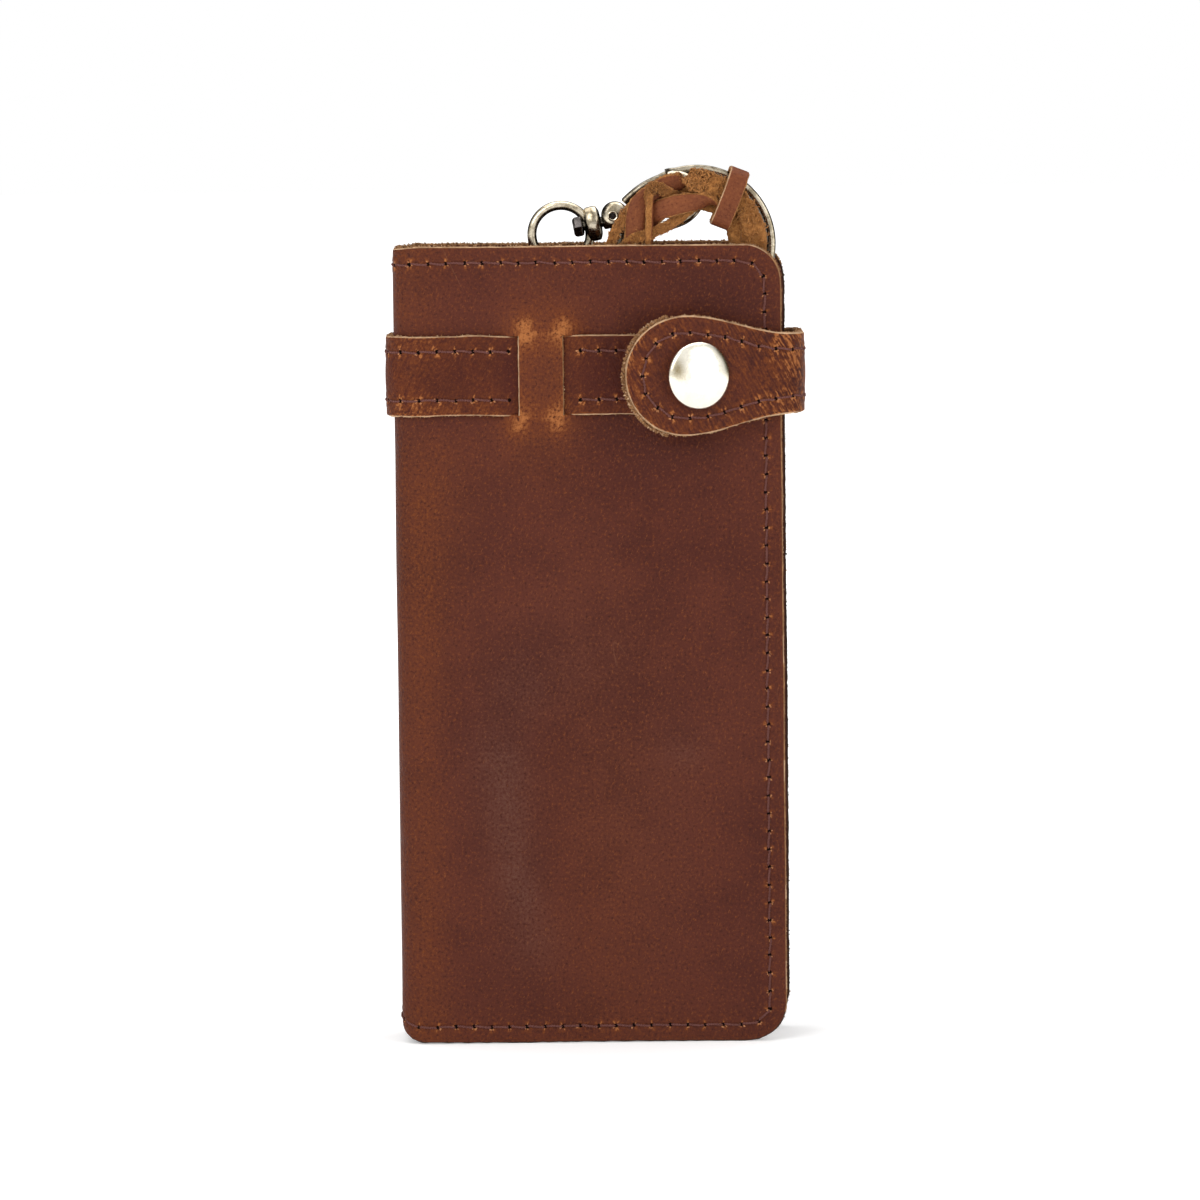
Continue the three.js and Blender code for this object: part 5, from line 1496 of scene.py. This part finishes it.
# painted shade: the bow darker on its underside
b.add(co, faces, 0, None, None, 0.9 * smooth(-0.35, -0.85, under) + 0.35 * smooth(0.75, 0.2, np.abs(under)))
hook = b.make("hook_body_bow", [M_BRASS, M_DARKMETAL], 50)
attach(hook, "hook")
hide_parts("hook_body")

# Hollow pivot rivet across the yoke, with painted shade on the heads' outer rims and a dark painted bore.
b = Build()
pin = (HOOK_X + PIN[0], HOOK_Y, HOOK_Z + PIN[1])
for way in (-1, 1):
    co, faces = turned([(2.45, 0.70), (3.05, 0.72), (3.42, 0.86), (3.50, 1.05), (3.38, 1.26), (2.95, 1.36), (2.45, 1.3)][::-1], pin, (0, way, 0), 28, ring=True)
    # painted shade: the head's outer rim dark, and the bore inside in dark metal
    b.add(leaned(co), faces, 0, None, None, 0.9 * smooth(1.27, 1.36, np.hypot(co[:, 0] - pin[0], co[:, 2] - pin[2])))
    co, faces = turned([(2.4, 0), (2.62, 0.9), (2.72, 0.9), (2.75, 0)], pin, (0, way, 0), 20)
    b.add(leaned(co), faces, 1, None, None, 1.0)
co, faces = turned([(-2.6, 0), (-2.6, 0.7), (2.6, 0.7), (2.6, 0)], pin, (0, 1, 0), 20)
b.add(leaned(co), faces, 1)
rivet = b.make("hook_pivot_rivet", [M_BRASS, M_DARKMETAL], 45)
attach(rivet, "hook")
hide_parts("hook_rivet")

# Gate: a sprung, bowed bar from the pivot to the bow's tip.
b = Build()
gate = leaned(catmull([(HOOK_X + x, HOOK_Y, HOOK_Z + z) for x, z in ((8.2, 3.5), (9.0, 4.1), (11.2, 5.4), (14.2, 6.7), (18.6, 7.8))], 8))
co, faces = tube(gate, np.interp(np.linspace(0, 1, len(gate)), [0, 0.1, 0.5, 0.94, 1], [0.7, 1.05, 1.0, 0.95, 0.6]), 14, up=(0, 1, 0))
b.add(co, faces, 0, None, None, 0.70)
co, faces = tube([(HOOK_X + 9.9, HOOK_Y, HOOK_Z + 1.65), (HOOK_X + 9.9, HOOK_Y, HOOK_Z + 3.0), (HOOK_X + 9.95, HOOK_Y, HOOK_Z + 4.4)], 0.72, 12)
b.add(leaned(co), faces, 0, None, None, 0.5)
gate_obj = b.make("hook_gate_bar", [M_BRASS], 50)
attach(gate_obj, "hook_gate")
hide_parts("hook_gate")

# Split ring: two turns of flat-sided wire lying on each other, one end standing off.
RING_C, RING_R = np.array([26.3, 7.7, 194.5]), 18.4
b = Build()
a0 = math.radians(113)
a = np.linspace(0, 4 * math.pi, 289)
lift = -0.56 + 1.12 * smooth(2 * math.pi - 0.45, 2 * math.pi + 0.45, a)
rr = RING_R + 0.12 * np.sin(a * 0.5) + 0.9 * smooth(0.16, 0.0, a) * 0.6
coil = np.stack([RING_C[0] + rr * np.cos(a0 - a), RING_C[1] + lift, RING_C[2] + rr * np.sin(a0 - a)], 1)
co, faces = tube(coil, 1.02, 16, False, flatten=0.54, up=(0, 1, 0))
near = np.concatenate([np.repeat(a, 16), [0, 4 * math.pi]])
side = np.hypot(co[:, 0] - RING_C[0], co[:, 2] - RING_C[2]) - RING_R
# painted shade: the wire darker on its inner edge, its outer edge on the right, along the left arc and at the cut end
painted_shade = 0.75 * smooth(-0.25, -0.75, side) + 0.85 * smooth(0.45, 0.95, side) * smooth(-6, 6, co[:, 0] - RING_C[0]) + 0.60 * smooth(4, -8, co[:, 0] - RING_C[0]) + smooth(0.10, 0.02, near)
b.add(co, faces, 0, None, None, np.clip(painted_shade, 0, 1))
split = b.make("split_ring_coil", [M_BRASS], 45)
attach(split, "split_ring")
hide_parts("split_ring")


# ---------------------------------------------------------------- inside

def panel(name, node, body, x0, x1, z0, z1, y, thick, face, corner, material, seams, seed):
    """A flat panel inside the wallet. face is -1 when it is seen from the front side and 1 from the back side; corner is
    the radius of its two corners on the right; seams are stitched lines of (x, z)."""
    def lines(lo, hi, step):
        edge = np.array([v for v in (0.0, 0.7, 1.6, 2.4, 3.3, 4.6, 6.0) if v < (hi - lo) / 2 - 0.4])
        return np.concatenate([lo + edge[:-1], spread((lo + edge[-1], hi - edge[-1], step)), hi - edge[:-1][::-1]])

    xs, zs = lines(x0, x1, 4.0), lines(z0, z1, 4.5)
    nx, nz = len(xs), len(zs)
    x, z = [g.ravel() for g in np.meshgrid(xs, zs, indexing="ij")]
    faces = [(i * nz + j, (i + 1) * nz + j, (i + 1) * nz + j + 1, i * nz + j + 1) for i in range(nx - 1) for j in range(nz - 1)]
    if face > 0:
        faces = [f[::-1] for f in faces]
    d_edge = np.minimum(np.minimum(x - x0, x1 - x), np.minimum(z - z0, z1 - z))
    if corner:
        ca = np.clip((x - (x1 - corner)) / corner, 0, 1)
        cb = np.clip((np.abs(z - (z0 + z1) / 2) - ((z1 - z0) / 2 - corner)) / corner, 0, 1)
        ra, rb = round_corner(ca, cb)
        inside = (ca > 0) & (cb > 0)
        up = np.where(z > (z0 + z1) / 2, 1.0, -1.0)
        x = np.where(inside, x1 - corner + ra * corner, x)
        z = np.where(inside, (z0 + z1) / 2 + up * ((z1 - z0) / 2 - corner + rb * corner), z)
    push = 0.07 * hash_noise(x, z, 0.05, float(seed)) * smooth(2, 8, d_edge)
    co = np.stack([x, y + face * push, z], 1)
    flat = np.stack([x, np.full(len(x), 600.0 + 30 * seed), z], 1)
    b = Build()
    cloth = material is M_LINING
    cut_sheet(b, co, faces, thick, (0, 1, 0, 1) if cloth else (0, 1, 6, 6), flat, 0.10 + 0.25 * np.exp(-d_edge / 1.6), None, r=0.22, ragged=0.05, seed=seed)
    for k, seam in enumerate(seams):
        run, _ = along(np.array(seam, float), 3.6)
        holes = np.stack([run[:, 0], np.full(len(run), y + face * thick / 2), run[:, 1]], 1)
        sew(b, holes, [(0, face, 0)] * len(run), seed * 10 + k, 0.62, 0.5, True)
    obj = b.make(name, hide_mats(material, material if cloth else M_FLESH), 45)
    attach(obj, body)
    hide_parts(node)
    return obj


def loop(x0, x1, z0, z1):
    return [(x0, z0), (x1, z0), (x1, z1), (x0, z1), (x0, z0 + 3.0)]


panel("card_backing_cloth", "card_backing", "front_cover", -42, 43.5, 5, 182, -10.2, 1.0, 1, 7, M_LINING, [[(-39.8, 8), (-39.8, 179)]], 3)
for k, left in enumerate((-34, -22, -10)):
    seams = [[(left + 2.4, 10), (left + 2.4, 175)]]
    if k == 2:
        seams = [[(left + 2.4, 9.4), (36.5, 9.4), (38.8, 10.6), (39.9, 13.0), (39.9, 172.0), (38.8, 174.4), (36.5, 175.6), (left + 2.4, 175.6), (left + 2.4, 12.6)]]
    panel("card_slot_%d_leather" % (k + 1), "card_slot_%d" % (k + 1), "front_cover", left, 42.5, 7, 178, -9.0 + 1.1 * k, 0.8, 1, 6, M_INNER, seams, 4 + k)
panel("bill_divider_cloth", "bill_divider", "wallet_back", -43.5, 45, 4, 172, 9.75, 0.9, -1, 7, M_LINING, [[(-40, 169.2), (38, 169.2)]], 8)
panel("coin_lining_cloth", "coin_pocket_lining", "wallet_back", -42.5, 44, 7, 150, 8.45, 0.9, -1, 6, M_LINING, [], 9)
panel("coin_panel_wide_leather", "coin_pocket_panel_wide", "wallet_back", -42.5, 26.5, 7, 150, 5.2, 1.2, -1, 0, M_INNER, [loop(-40.1, 24.1, 9.4, 147.6)], 10)
panel("coin_panel_narrow_leather", "coin_pocket_panel_narrow", "wallet_back", 33.5, 44, 7, 150, 5.2, 1.2, -1, 6, M_INNER, [loop(35.9, 41.4, 12.5, 144.5)], 11)

for node, material in (("zip_tape_wide", M_TAPE), ("zip_tape_narrow", M_TAPE), ("zip_teeth_wide", M_TEETH), ("zip_teeth_narrow", M_TEETH),
                       ("zip_bottom_stop", M_TEETH), ("zip_top_stop", M_TEETH), ("zip_slider", M_TEETH), ("zip_pull", M_TEETH)):
    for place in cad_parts[node].material_slots:
        place.material = material
